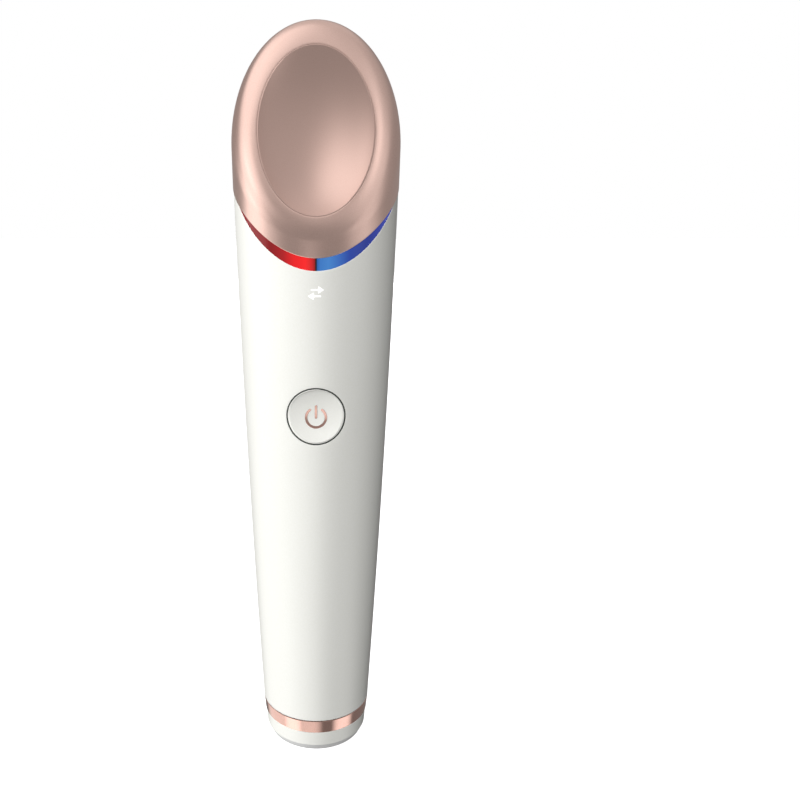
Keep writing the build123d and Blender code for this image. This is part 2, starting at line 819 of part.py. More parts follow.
# trim_ring: polished ring between the handle and the cap
with BuildPart() as trim_ring:
    with BuildSketch(Plane.XZ):
        with BuildLine():
            Polyline(
                (cap_spigot_r + ring_gap, cap_top_z),
                (ring_low_r - edge_break, cap_top_z),
                (ring_low_r, cap_top_z + edge_break),
                (foot_r, foot_z - edge_break),
                (foot_r - edge_break, foot_z),
                (cap_spigot_r + ring_gap, foot_z),
                close=True,
            )
        make_face()
    revolve(axis=Axis.Z)
finish_part(trim_ring.part, "trim_ring")

# base_cap: cup with a spigot, bosses for the contacts and seats for the two long screws
base_screw_seat_z = foot_pad_height + screw_head_height + screw_gap
contact_step_z = contact_recess + contact_head
base_groove_r = skin_radius(base_seal_z) - wall - 2 * seal_gap - seal_side
with BuildPart() as base_cap:
    with BuildSketch(Plane.XZ):
        with BuildLine():
            Polyline(
                (0, foot_pad_height),
                (cap_low_r, foot_pad_height),
                (cap_high_r, cap_top_z - edge_break),
                (cap_high_r - edge_break, cap_top_z),
                (cap_spigot_r, cap_top_z),
                (cap_spigot_r, spigot_top_z),
                (cap_spigot_r - cap_spigot_wall, spigot_top_z),
                (cap_spigot_r - cap_spigot_wall, foot_pad_height + cap_floor),
                (0, foot_pad_height + cap_floor),
                close=True,
            )
        make_face()
    revolve(axis=Axis.Z)
    with BuildSketch(Plane.XZ):
        with Locations((base_groove_r, base_seal_z)):
            Rectangle(spigot_inset, seal_groove, align=(Align.MIN, Align.CENTER))
    revolve(axis=Axis.Z, mode=Mode.SUBTRACT)
    for x in (-contact_x, contact_x):
        add(round_pin(x, 0, foot_pad_height, charge_board_z, contact_boss_r))
        add(
            round_pin(x, 0, foot_pad_height, charge_board_z, contact_pin_r + contact_gap),
            mode=Mode.SUBTRACT,
        )
        add(
            round_pin(x, 0, foot_pad_height, contact_step_z + contact_gap, contact_r + contact_gap),
            mode=Mode.SUBTRACT,
        )
    for x in (-base_screw_x, base_screw_x):
        add(
            round_pin(x, base_screw_y, foot_pad_height, foot_pad_height + cap_floor, screw_r + screw_gap),
            mode=Mode.SUBTRACT,
        )
        add(
            round_pin(x, base_screw_y, foot_pad_height, base_screw_seat_z, screw_head_r + screw_gap),
            mode=Mode.SUBTRACT,
        )
finish_part(base_cap.part, "base_cap")

# base_foot: soft pad with a steep bevel that the wand stands on
with BuildPart() as base_foot:
    with BuildSketch(Plane.XZ):
        with BuildLine():
            Polyline(
                (0, 0),
                (foot_pad_rest_r, 0),
                (cap_low_r, foot_pad_height),
                (0, foot_pad_height),
                close=True,
            )
        make_face()
    revolve(axis=Axis.Z)
    for x in (-contact_x, contact_x):
        add(
            round_pin(x, 0, 0, foot_pad_height, contact_r + contact_gap),
            mode=Mode.SUBTRACT,
        )
finish_part(base_foot.part, "base_foot")

# charge_contacts: two stepped pins, set back from the rest face, and the round board they stand in
with BuildPart() as charge_contacts:
    for x in (-contact_x, contact_x):
        add(round_pin(x, 0, contact_recess, contact_step_z, contact_r))
        add(round_pin(x, 0, contact_step_z, spigot_top_z + contact_pin_proud, contact_pin_r))
finish_part(charge_contacts.part, "charge_contacts")

with BuildPart() as charge_board:
    with BuildSketch(Plane.XY.offset(charge_board_z)):
        Circle(charge_board_r)
        with Locations((-contact_x, 0), (contact_x, 0)):
            Circle(contact_pin_r + contact_gap, mode=Mode.SUBTRACT)
        with Locations((-base_screw_x, base_screw_y), (base_screw_x, base_screw_y)):
            SlotOverall(charge_board_notch, 2 * (screw_r + contact_gap + screw_gap), mode=Mode.SUBTRACT)
    extrude(amount=charge_board_thickness)
finish_part(charge_board.part, "charge_board")


def screw_set(name, planes, length):
    # pan-head screws that sit under each plane's origin, with the shank along the plane's normal
    with BuildPart() as screws:
        for plane in planes:
            with BuildSketch(plane):
                Circle(screw_head_r)
            extrude(amount=-screw_head_height)
            with BuildSketch(plane):
                Circle(screw_r)
            extrude(amount=length)
    finish_part(screws.part, name)


screw_set(
    "base_screws",
    [Plane((x, base_screw_y, base_screw_seat_z)) for x in (-base_screw_x, base_screw_x)],
    foot_deck_top_z - screw_end_room - base_screw_seat_z,
)
screw_set(
    "board_screws",
    [
        Plane(origin=(x, board_front_y, z), z_dir=(0, 1, 0))
        for z in board_screw_zs
        for x in (-board_screw_x, board_screw_x)
    ],
    board_thickness + board_screw_bite,
)
screw_set(
    "head_screws",
    [Plane((x, head_screw_y, head_screw_seat_z)) for x in (-head_screw_x, head_screw_x)],
    head_boss_top_z - screw_end_room - head_screw_seat_z,
)
screw_set(
    "sink_screws",
    [
        Plane(
            origin=slant_plane.from_local_coords((x, dish_offset, -sink_depth - sink_base)),
            z_dir=slant_plane.z_dir,
        )
        for x in (-sink_screw_x, sink_screw_x)
    ],
    sink_base + sink_screw_bite,
)


def seal_ring(z, name):
    # square-cut ring between a groove floor and the inside of the handle
    with BuildPart() as seal:
        with BuildSketch(Plane.XZ):
            with Locations((skin_radius(z) - wall - seal_gap - seal_side / 2, z)):
                Rectangle(seal_side, seal_side)
        revolve(axis=Axis.Z)
    finish_part(seal.part, name)


seal_ring(base_seal_z, "base_seal")
seal_ring(head_seal_z, "head_seal")
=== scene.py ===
from math import asin, atan2, cos, hypot, pi, radians, sin, sqrt, tan

import bpy
import bmesh
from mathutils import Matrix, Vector


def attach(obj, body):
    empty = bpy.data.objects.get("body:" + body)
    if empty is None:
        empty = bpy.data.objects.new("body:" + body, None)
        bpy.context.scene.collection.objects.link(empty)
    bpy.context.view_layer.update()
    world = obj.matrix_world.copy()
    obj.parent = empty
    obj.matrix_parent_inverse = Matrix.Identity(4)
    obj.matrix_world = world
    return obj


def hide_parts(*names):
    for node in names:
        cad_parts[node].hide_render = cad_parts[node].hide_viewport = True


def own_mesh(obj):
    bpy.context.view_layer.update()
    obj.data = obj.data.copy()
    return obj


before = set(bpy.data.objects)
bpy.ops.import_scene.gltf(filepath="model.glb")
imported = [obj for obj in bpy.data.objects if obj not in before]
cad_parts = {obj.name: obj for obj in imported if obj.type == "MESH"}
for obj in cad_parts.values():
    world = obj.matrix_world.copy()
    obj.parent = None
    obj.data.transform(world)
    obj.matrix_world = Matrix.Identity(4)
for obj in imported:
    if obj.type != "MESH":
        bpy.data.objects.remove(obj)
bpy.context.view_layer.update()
print("frame loaded:", len(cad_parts), "nodes")

scene = bpy.context.scene
mm = 0.001  # all shapes below are written in millimetres

# small tools


def linear(hexColour):
    # sRGB hex to the linear values that shaders want
    channels = [int(hexColour[i : i + 2], 16) / 255 for i in (1, 3, 5)]
    return [c / 12.92 if c <= 0.04045 else ((c + 0.055) / 1.055) ** 2.4 for c in channels] + [1.0]


def addNode(tree, kind, inputs=None, **settings):
    # one node with its settings; an input is a value, an output, or a node for its first output
    node = tree.nodes.new(kind)
    for name, value in settings.items():
        setattr(node, name, value)
    for socket, value in (inputs or {}).items():
        if isinstance(value, bpy.types.Node):
            value = value.outputs[0]
        if isinstance(value, bpy.types.NodeSocket):
            tree.links.new(value, node.inputs[socket])
        else:
            node.inputs[socket].default_value = value
    return node


def addObject(name, data):
    thing = bpy.data.objects.new(name, data)
    scene.collection.objects.link(thing)
    return thing


def addMesh(name, points, faces, sharpAngle=35):
    # points in mm, shaded smooth except over sharp edges, with the faces turned outwards
    mesh = bpy.data.meshes.new(name)
    mesh.from_pydata([Vector(p) * mm for p in points], [], faces)
    work = bmesh.new()
    work.from_mesh(mesh)
    bmesh.ops.remove_doubles(work, verts=work.verts, dist=1e-7)
    bmesh.ops.dissolve_degenerate(work, edges=work.edges, dist=1e-8)
    bmesh.ops.recalc_face_normals(work, faces=work.faces)
    work.to_mesh(mesh)
    work.free()
    mesh.shade_smooth()
    mesh.set_sharp_from_angle(angle=radians(sharpAngle))
    return addObject(name, mesh)


def skinOver(rings, closed=False):
    # skin over rings with as many points each; open ends get a fan, closed joins last to first
    points = [p for ring in rings for p in ring]
    count = len(rings[0])
    spans = [(r, r + 1) for r in range(len(rings) - 1)]
    if closed:
        spans.append((len(rings) - 1, 0))
    faces = []
    for a, b in spans:
        for i in range(count):
            j = (i + 1) % count
            faces.append((a * count + i, a * count + j, b * count + j, b * count + i))
    if not closed:
        for r in (0, len(rings) - 1):
            points.append(sum((Vector(p) for p in rings[r]), Vector()) / count)
            for i in range(count):
                faces.append((r * count + i, r * count + (i + 1) % count, len(points) - 1))
    return points, faces


def ringsMesh(name, rings, closed=False, **options):
    return addMesh(name, *skinOver(rings, closed), **options)


def fullTurn(count):
    # evenly spaced angles round a whole turn
    return [2 * pi * i / count for i in range(count)]


def quarterRound(radius, steps=4):
    # offsets back from both faces, for the points of a small round edge between them
    bends = [pi / 2 * s / steps for s in range(steps + 1)]
    return [(radius * (1 - sin(bend)), radius * (1 - cos(bend))) for bend in bends]


def roundedProfile(corners, steps=4, support=0.04):
    # (radius, height, rounding) corners of a closed profile, with arcs where rounding isn't nought
    # and a support point beside each arc, so that the flats beside it stay flat to the eye
    profile = []
    for k, (x, z, rounding) in enumerate(corners):
        if not rounding:
            profile.append((x, z))
            continue
        corner = Vector((x, z))
        before = (Vector(corners[k - 1][:2]) - corner).normalized()
        after = (Vector(corners[(k + 1) % len(corners)][:2]) - corner).normalized()
        half = before.angle(after) / 2
        middle = corner + (before + after).normalized() * rounding / sin(half)
        reach = rounding / tan(half)
        start = (corner + before * reach - middle).normalized()
        end = (corner + after * reach - middle).normalized()
        profile.append(tuple(corner + before * (reach + support)))
        for s in range(steps + 1):
            profile.append(tuple(middle + start.slerp(end, s / steps) * rounding))
        profile.append(tuple(corner + after * (reach + support)))
    return profile


def lathe(name, corners, columns=256, axisX=0, closed=True):
    # a profile of (radius, height, rounding) corners, turned about an upright axis
    turns = fullTurn(columns)
    rings = []
    for radius, height in roundedProfile(corners):
        rings.append([(axisX + radius * sin(t), -radius * cos(t), height) for t in turns])
    return ringsMesh(name, rings, closed=closed)


def dress(piece, body, slotName, material, *nodes):
    # what every finished piece needs
    piece.data.materials.clear()
    piece.data.materials.append(material)
    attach(piece, body)
    if nodes:
        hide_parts(*nodes)
    return piece


# materials


def emptyTree(owner):
    # the node tree of a material or a world, with nothing in it
    owner.use_nodes = True
    owner.node_tree.nodes.clear()
    return owner.node_tree


def newMaterial(name, inputs):
    # a material with a Principled shader at its output, with some of its inputs set
    material = bpy.data.materials.new(name)
    tree = emptyTree(material)
    shader = addNode(tree, "ShaderNodeBsdfPrincipled", inputs)
    addNode(tree, "ShaderNodeOutputMaterial", {"Surface": shader})
    return material, tree, shader


def finish(name, low, high, roughness, size, depth, metallic=0.0, stretch=(1, 1, 1)):
    # a colour that wanders between two hex colours with the grain that the making left:
    # the grain's size and depth are in mm, on the piece's own coordinates
    surface = {"Roughness": roughness, "Metallic": metallic}
    material, tree, shader = newMaterial(name, surface)
    place = addNode(tree, "ShaderNodeTexCoord").outputs["Object"]
    scale = [1 / (size * mm) / s for s in stretch]
    mapped = addNode(tree, "ShaderNodeMapping", {"Vector": place, "Scale": scale})
    grain = {"Vector": mapped, "Scale": 1.0, "Detail": 2.0, "Roughness": 0.5}
    noise = addNode(tree, "ShaderNodeTexNoise", grain)
    relief = {"Height": noise, "Distance": depth * mm, "Strength": 1.0}
    tree.links.new(addNode(tree, "ShaderNodeBump", relief).outputs[0], shader.inputs["Normal"])
    spread = {"Value": noise, "From Min": 0.35, "From Max": 0.65}
    wander = addNode(tree, "ShaderNodeMapRange", spread)
    colours = {"Factor": wander, "A": linear(low), "B": linear(high)}
    mix = addNode(tree, "ShaderNodeMix", colours, data_type="RGBA")
    tree.links.new(mix.outputs["Result"], shader.inputs["Base Color"])
    return material


# injection-moulded ABS, satin gloss: warm white that picks up soft streaks of light
whiteAbs = finish("satinWhiteAbs", "#ebebe5", "#edede8", 0.36, 0.35, 0.0002)
# bead-blasted, rose anodised aluminium: broad soft highlights and a faint sparkle of grain
roseAluminium = finish("roseAnodisedAluminium", "#f1cec3", "#f6d4ca", 0.30, 0.22, 0.0008, 1.0)
# the dish is lapped to a finer grain and a softer shine, kind to the skin
roseDish = finish("roseLappedAluminium", "#f1cec3", "#f5d3c9", 0.36, 0.16, 0.0005, 1.0)
# rose plating over polished ABS: mirror bands with the fine lines of turning round the ring
rosePlating = finish("rosePlating", "#f3c6b9", "#f8ccc0", 0.12, 0.12, 0.0002, 1.0, (1, 1, 8))
# soft grey thermoplastic rubber: dull, slightly dusty
greyRubber = finish("greyRubber", "#dcdcdb", "#e4e4e3", 0.62, 0.3, 0.004)
# matt, nearly black rubber that paints the shade in the button's gap
gapShadeRubber = finish("paintedShadeRubber", "#3c3f3c", "#454844", 0.7, 0.3, 0.002)
print("main materials made")

# the skin and the seam lines that all shells share

skin = {
    "footZ": 8.2,
    "footRadius": 12.25,
    "crownZ": 136.0,
    "crownRadius": 17.1,
    "bow": 0.53,  # how far the barrel curve stands off its chord
    "wall": 1.8,
}
skinSpan = skin["crownZ"] - skin["footZ"]
skinLean = skin["crownRadius"] - skin["footRadius"]
skinChord = hypot(skinSpan, skinLean)
skinArc = skinChord**2 / (8 * skin["bow"]) + skin["bow"] / 2
skinDrop = skinArc - skin["bow"]
skinMidR = (skin["footRadius"] + skin["crownRadius"]) / 2 - skinDrop * skinSpan / skinChord
skinMidZ = (skin["footZ"] + skin["crownZ"]) / 2 + skinDrop * skinLean / skinChord


def skinRadius(z):
    return skinMidR + sqrt(skinArc**2 - (z - skinMidZ) ** 2)


def skinY(x, z, inset=0.0):
    # Y of the front of the skin, or of a surface under it
    return -sqrt((skinRadius(z) - inset) ** 2 - x**2)


seam = {
    "reach": 19.0,
    "headHeights": (107.4, 124.85, 129.2),  # lower edge of the head at the front, axis and back
    "handleHeights": (104.45, 127.42, 141.56),  # the handle's top edge, under the head at the sides
    "searchFrom": 120.0,
    "searchSteps": 30,
}


def sweptEdge(front, axis, back):
    # in side view an edge is an arc through three heights: returns its height for any y
    reach = seam["reach"]
    rise, lean = (front + back) / 2 - axis, (back - front) / (2 * reach)
    # circle y^2 + z^2 + d y + e z + f = 0, with heights counted from the axis height
    e = -(reach**2 + rise**2 + (lean * reach) ** 2) / rise
    d = -lean * (2 * rise + e)
    radius = sqrt(d * d + e * e) / 2

    def height(y):
        return axis - e / 2 + sqrt(radius**2 - (y + d / 2) ** 2)

    return height


seamHeight = sweptEdge(*seam["headHeights"])
guideHeight = sweptEdge(*seam["handleHeights"])


def handleTop(y):
    return min(seamHeight(y), guideHeight(y))


def heightOn(edge, radiusAt, turn):
    # where an edge in side view meets a wall of revolution at an angle round the axis
    z = seam["searchFrom"]
    for _ in range(seam["searchSteps"]):
        z = edge(-radiusAt(z) * cos(turn))
    return z


def onAxis(radius, turn, z):
    # a turn of 0 is the front of the wand
    return (radius * sin(turn), -radius * cos(turn), z)


def wallRing(radiusAt, turns, heights):
    return [onAxis(radiusAt(z), turn, z) for turn, z in zip(turns, heights)]


# handle shell

handle = {
    "columns": 240,
    "patchColumns": 20,  # half width of the fine patch round the button, in columns
    "patchRows": 26,
    "patchHalf": 7.8,
    "patchRings": 3,
    "buttonZ": 79.6,
    "holeRadius": 5.96,
    "holeRound": 0.05,
    "rimRound": 0.16,
    "lowRows": 14,
    "highRows": 12,
    "roundSteps": 4,
    "support": 0.08,  # from a rounded edge to the next row
}


def handleSheet(points, faces, inset, flip):
    # one side of the shell: a grid of columns with a round hole, returns its three open loops
    count, half, reach = handle["columns"], handle["patchColumns"], handle["patchHalf"]
    centreZ, around = handle["buttonZ"], range(-count // 2, count // 2)
    rimRound, holeRound = (0, 0) if inset else (handle["rimRound"], handle["holeRound"])
    low = skin["footZ"] + rimRound
    patchStart = handle["lowRows"]
    patchEnd = patchStart + handle["patchRows"]
    lastRow = patchEnd + handle["highRows"]
    index = {}
    for i in around:
        turn = 2 * pi * i / count
        top = heightOn(handleTop, lambda z: skinRadius(z) - inset, turn) - rimRound
        for row in range(lastRow + 1):
            if row == 1:
                z = low + handle["support"]
            elif row == lastRow - 1:
                z = top - handle["support"]
            elif row < patchStart:
                z = low + (centreZ - reach - low) * row / patchStart
            elif row <= patchEnd:
                z = centreZ - reach + 2 * reach * (row - patchStart) / handle["patchRows"]
            else:
                share = (row - patchEnd) / handle["highRows"]
                z = centreZ + reach + (top - centreZ - reach) * share
            if abs(i) < half and patchStart < row < patchEnd:
                continue
            index[i, row] = len(points)
            points.append(onAxis(skinRadius(z) - inset, turn, z))

    def quad(a, b, c, d):
        faces.append((d, c, b, a) if flip else (a, b, c, d))

    for i in around:
        j = i + 1 if i + 1 < count // 2 else -count // 2
        for row in range(lastRow):
            if not (-half <= i < half and patchStart <= row < patchEnd):
                quad(index[i, row], index[j, row], index[j, row + 1], index[i, row + 1])
    # from the square border of the patch in to the round hole
    border = [(i, patchStart) for i in range(-half, half)]
    border += [(half, row) for row in range(patchStart, patchEnd)]
    border += [(i, patchEnd) for i in range(half, -half, -1)]
    border += [(-half, row) for row in range(patchEnd, patchStart, -1)]
    loop = [index[key] for key in border]
    start = [points[k] for k in loop]
    radius = handle["holeRadius"] + holeRound
    for ring in range(1, handle["patchRings"] + 1):
        share = ring / handle["patchRings"]
        nextLoop = []
        for x, _, z in start:
            turn = atan2(z - centreZ, x)
            ringX = x + (radius * cos(turn) - x) * share
            ringZ = z + (centreZ + radius * sin(turn) - z) * share
            nextLoop.append(len(points))
            points.append((ringX, skinY(ringX, ringZ, inset), ringZ))
        for k in range(len(loop)):
            m = (k + 1) % len(loop)
            quad(loop[k], loop[m], nextLoop[m], nextLoop[k])
        loop = nextLoop
    return [index[i, 0] for i in around], [index[i, lastRow] for i in around], loop


def makeHandleShell():
    points, faces = [], []
    outer = handleSheet(points, faces, 0, False)
    inner = handleSheet(points, faces, skin["wall"], True)
    steps, count, centreZ = handle["roundSteps"], handle["columns"], handle["buttonZ"]
    turns = [2 * pi * i / count for i in range(-count // 2, count // 2)]

    def bridge(loopA, loopB):
        for k in range(len(loopA)):
            m = (k + 1) % len(loopA)
            faces.append((loopA[k], loopA[m], loopB[m], loopB[k]))

    def grow(loop, ring):
        # adds a ring of points, joined to the loop before it
        points.extend(ring)
        nextLoop = list(range(len(points) - len(ring), len(points)))
        bridge(loop, nextLoop)
        return nextLoop

    # rounded bottom and top edges
    for k, loop in enumerate(outer[:2]):
        for rise, inwards in quarterRound(handle["rimRound"], steps)[1:]:
            ring = []
            for turn in turns:
                z = skin["footZ"] + rise
                if k == 1:
                    z = heightOn(handleTop, lambda h: skinRadius(h) - inwards, turn) - rise
                ring.append(onAxis(skinRadius(z) - inwards, turn, z))
            loop = grow(loop, ring)
        bridge(loop, inner[k])
    # rounded edge and wall of the button hole
    loop = outer[2]
    rim = [points[k] for k in loop]
    for outwards, sink in quarterRound(handle["holeRound"], steps)[1:]:
        radius = handle["holeRadius"] + outwards
        ring = []
        for x, _, z in rim:
            turn = atan2(z - centreZ, x)
            ringX, ringZ = radius * cos(turn), centreZ + radius * sin(turn)
            ring.append((ringX, skinY(ringX, ringZ) + sink, ringZ))
        loop = grow(loop, ring)
    bridge(loop, inner[2])
    return addMesh("handleShell", points, faces, sharpAngle=50)


dress(makeHandleShell(), "handle", "white_abs", whiteAbs, "handle_shell")
print("handle shell made")

# head shroud

head = {
    "columns": 240,
    "slant": 57.85,  # tilt of the face, in degrees from level
    "slantZ": 142.07,
    "rimRound": 4.5,
    "proud": 0.135,
    "tuck": 0.17,  # the head leans in from the skin by this much at the back
    "topZ": 176.0,
    "spigotLowZ": 97.0,
    "spigotInset": 1.9,
    "cavityInset": 3.1,
    "pocketDepth": 6.0,
    "floorDepth": 7.5,
    "floorHole": 0.7,  # the pocket's floor is open over this share of its size
    "sealZ": 99.4,
    "sealGroove": 1.1,
    "sealDepth": 0.95,
    "edgeRound": 0.14,
    "pocketRound": 0.03,
    "landTilt": 25.0,  # the rim's ball ends at this tilt and a wider crown takes over
    "landFade": 0.75,  # the share of that tilt which is gone at the top of the head
    "landMost": 0.85,  # the crown takes at most this share of the roll
    "landRise": 0.2,  # how far the crown stands above the slanted face at the dish
    "sideRows": 10,
    "sideSupport": 0.02,  # share of the side at which its second row lies
    "rimRows": 16,
    "landRows": 10,
}
dish = {
    "halfWidth": 11.66,
    "halfLength": 20.2,
    "offset": -7.7,
    "gap": 0.04,
    "lip": 0.25,
    "bowlDepth": 3.6,
    "bowlLift": 7.0,
    "edgeRound": 0.03,
    "columns": 180,
    "rings": 40,
}
slantSin, slantCos = sin(radians(head["slant"])), cos(radians(head["slant"]))
slantNormal = Vector((0, -slantSin, slantCos))
slantUp = Vector((0, slantCos, slantSin))


def onSlant(u, v, height=0.0):
    # a point on, above or below the slanted face
    return Vector((u, 0, head["slantZ"])) + slantUp * v + slantNormal * height


def slantCut(depth):
    # height of a plane under the slanted face, for any y
    return lambda y: head["slantZ"] + (y * slantSin - depth) / slantCos


frontZ, _, backZ = seam["headHeights"]
headLowR = skinRadius(frontZ) + head["proud"]
headHighR = skinRadius(backZ) + head["proud"] - head["tuck"]
headRise = (headHighR - headLowR) / (backZ - frontZ) * (head["topZ"] - backZ)
coreSlope = (headHighR + headRise - headLowR) / (head["topZ"] - head["spigotLowZ"])


def coreRadius(z):
    # the rim's ball rolls round the edge of this slimmer cone
    return headLowR - head["rimRound"] + coreSlope * (z - head["spigotLowZ"])


def headRadius(z):
    return coreRadius(z) + head["rimRound"] * sqrt(1 + coreSlope**2)


def ellipseAt(turn, halfWidth, halfLength):
    # the point of the ellipse that lies in a direction from its centre
    radius = halfWidth * halfLength / hypot(halfLength * cos(turn), halfWidth * sin(turn))
    return radius * cos(turn), radius * sin(turn)


def makeHeadShroud():
    turns = fullTurn(head["columns"])
    ball, coneLean = head["rimRound"], sqrt(1 + coreSlope**2)
    edges, coneNormals = [], []
    for turn in turns:
        z = heightOn(slantCut(ball), coreRadius, turn)
        edges.append(Vector(onAxis(coreRadius(z), turn, z)))
        coneNormals.append(Vector((sin(turn), -cos(turn), -coreSlope)) / coneLean)
    rings = []
    # lower lip, with its small round edge, and the side of the cone
    seamZs = [heightOn(seamHeight, headRadius, turn) for turn in turns]
    for inwards, rise in quarterRound(head["edgeRound"])[:-1]:
        rings.append(
            [onAxis(headRadius(z) - inwards, turn, z + rise) for turn, z in zip(turns, seamZs)]
        )
    for row in range(head["sideRows"]):
        share = head["sideSupport"] if row == 1 else row / head["sideRows"]
        heights = []
        for z, edge, normal in zip(seamZs, edges, coneNormals):
            low, high = z + head["edgeRound"], (edge + normal * ball).z
            heights.append(low + (high - low) * share)
        rings.append(wallRing(headRadius, turns, heights))
    # rolled rim, up to where the crowned land starts
    rollShares = []
    for edge, normal in zip(edges, coneNormals):
        climb = (edge - onSlant(0, dish["offset"])).dot(slantUp) / dish["halfLength"]
        tilt = radians(head["landTilt"]) * (1 - head["landFade"] * min(max(climb, 0), 1))
        rollShares.append(1 - min(tilt / normal.angle(slantNormal), head["landMost"]))
    for row in range(head["rimRows"] + 1):
        ring = []
        for edge, normal, roll in zip(edges, coneNormals, rollShares):
            ring.append(edge + normal.slerp(slantNormal, roll * row / head["rimRows"]) * ball)
        rings.append(ring)
    # crowned land in to the pocket
    rimEnd = []
    for edge in edges:
        local = edge + slantNormal * ball - Vector((0, 0, head["slantZ"]))
        rimEnd.append((local.x, local.dot(slantUp)))
    compass = [atan2(v - dish["offset"], u) for u, v in rimEnd]

    def pocketRing(grow, height, shrink=1.0):
        halfWidth = (dish["halfWidth"] + dish["gap"]) * shrink + grow
        halfLength = (dish["halfLength"] + dish["gap"]) * shrink + grow
        lifted = height + (head["landRise"] if shrink == 1.0 else 0)
        ring = []
        for turn in compass:
            u, v = ellipseAt(turn, halfWidth, halfLength)
            ring.append(onSlant(u, v + dish["offset"], lifted))
        return ring

    landEnd = pocketRing(head["pocketRound"], 0)
    crowns = []
    for edge, normal, roll, (u, v), end in zip(edges, coneNormals, rollShares, rimEnd, landEnd):
        rollNormal = normal.slerp(slantNormal, roll)
        start = edge + rollNormal * ball
        inwards = end - onSlant(u, v, head["landRise"])
        reach = (end - start).length
        setOff = (slantNormal - rollNormal * rollNormal.dot(slantNormal)).normalized() * reach
        crowns.append((start, setOff, end, inwards.normalized() * reach))
    for row in range(1, head["landRows"]):
        s = row / head["landRows"]
        ring = []
        for start, setOff, end, arrive in crowns:
            point = start * (2 * s**3 - 3 * s**2 + 1) + setOff * (s**3 - 2 * s**2 + s)
            ring.append(point + end * (3 * s**2 - 2 * s**3) + arrive * (s**3 - s**2))
        rings.append(ring)
    rings.append(landEnd)
    for grow, sink in quarterRound(head["pocketRound"], steps=3)[1:]:
        rings.append(pocketRing(grow, -sink))
    # pocket wall, floor ledge and its underside
    rings.append(pocketRing(0, -head["pocketDepth"]))
    rings.append(pocketRing(0, -head["pocketDepth"], head["floorHole"]))
    rings.append(pocketRing(0, -head["floorDepth"], head["floorHole"]))

    # cavity wall, down to the open end, and up outside the spigot with its seal groove
    def insetRing(inset, edge):
        def radiusAt(z):
            return skinRadius(min(z, skin["crownZ"])) - inset

        return wallRing(radiusAt, turns, [heightOn(edge, radiusAt, turn) for turn in turns])

    lowZ, halfGroove = head["spigotLowZ"], head["sealGroove"] / 2
    grooveLow, grooveHigh = head["sealZ"] - halfGroove, head["sealZ"] + halfGroove
    cavity, spigot = head["cavityInset"], head["spigotInset"]
    grooved = spigot + head["sealDepth"]
    rings.append(insetRing(cavity, slantCut(head["floorDepth"])))
    for inset, z in (
        (cavity, lowZ),
        (spigot, lowZ),
        (spigot, grooveLow),
        (grooved, grooveLow),
        (grooved, grooveHigh),
        (spigot, grooveHigh),
    ):
        rings.append(insetRing(inset, lambda y: z))
    rings.append(insetRing(spigot, seamHeight))
    return ringsMesh("headShroud", rings, closed=True, sharpAngle=50)


shroud = dress(makeHeadShroud(), "handle", "rose_aluminium", roseAluminium, "head_shroud")
print("head shroud made")

# thermal dish


def makeThermalDish():
    turns = fullTurn(dish["columns"])
    bowlHeight = dish["bowlDepth"] + dish["bowlLift"]
    share = sqrt(1 - (dish["bowlLift"] / bowlHeight) ** 2)

    def ellipse(inset, height, size=1.0):
        ring = []
        for turn in turns:
            u = size * (dish["halfWidth"] - inset) * cos(turn)
            v = size * (dish["halfLength"] - inset) * sin(turn) + dish["offset"]
            ring.append(onSlant(u, v, height + head["landRise"]))
        return ring

    rings = []
    for r in range(1, dish["rings"] + 1):
        size = sin(pi / 2 * r / dish["rings"]) if r < dish["rings"] else 1.0
        height = dish["bowlLift"] - bowlHeight * sqrt(1 - (size * share) ** 2)
        rings.append(ellipse(dish["lip"], height, size))
    rings += [ellipse(inset, -sink) for inset, sink in quarterRound(dish["edgeRound"])]
    rings.append(ellipse(0, -head["pocketDepth"]))
    return ringsMesh("thermalDish", rings, sharpAngle=30)


dress(makeThermalDish(), "handle", "rose_dish", roseDish, "thermal_dish")
print("thermal dish made")

# crescent light guides

guide = {
    "recess": 0.04,
    "halfSplit": 0.15,
    "splitZ": 110.0,
    "columns": 64,
    "rows": 6,
    "gap": 0.02,
    "tipSteps": 40,  # halvings that find the tip
    "glow": 0.85,
    "shade": 0.75,  # how far the base colour is darkened below the painted glow ramp
    "rampSpan": 16.0,
}


def guideRadius(z):
    return skinRadius(z) - guide["recess"]


def innerRadius(z):
    return skinRadius(z) - skin["wall"]


def makeLightGuide(name, sign):
    # a strip between the handle's top edge and the head seam, from the split to its tip
    def opening(turn):
        return heightOn(seamHeight, guideRadius, turn) - heightOn(guideHeight, guideRadius, turn)

    start = asin(guide["halfSplit"] / guideRadius(guide["splitZ"]))
    tip, high = start, pi / 2
    for _ in range(guide["tipSteps"]):
        middle = (tip + high) / 2
        tip, high = (middle, high) if opening(middle) > 2 * guide["gap"] else (tip, middle)
    shares = [row / guide["rows"] for row in range(guide["rows"] + 1)]
    rings = []
    for i in range(guide["columns"] + 1):
        turn = start + (tip - start) * i / guide["columns"]
        ring = []
        for radiusAt, way in ((guideRadius, 1), (innerRadius, -1)):
            bottom = heightOn(guideHeight, radiusAt, turn) + guide["gap"]
            top = max(heightOn(seamHeight, radiusAt, turn) - guide["gap"], bottom)
            for share in shares[::way]:
                z = bottom + (top - bottom) * share
                ring.append(onAxis(radiusAt(z), sign * turn, z))
        rings.append(ring)
    return ringsMesh(name, rings, sharpAngle=40)


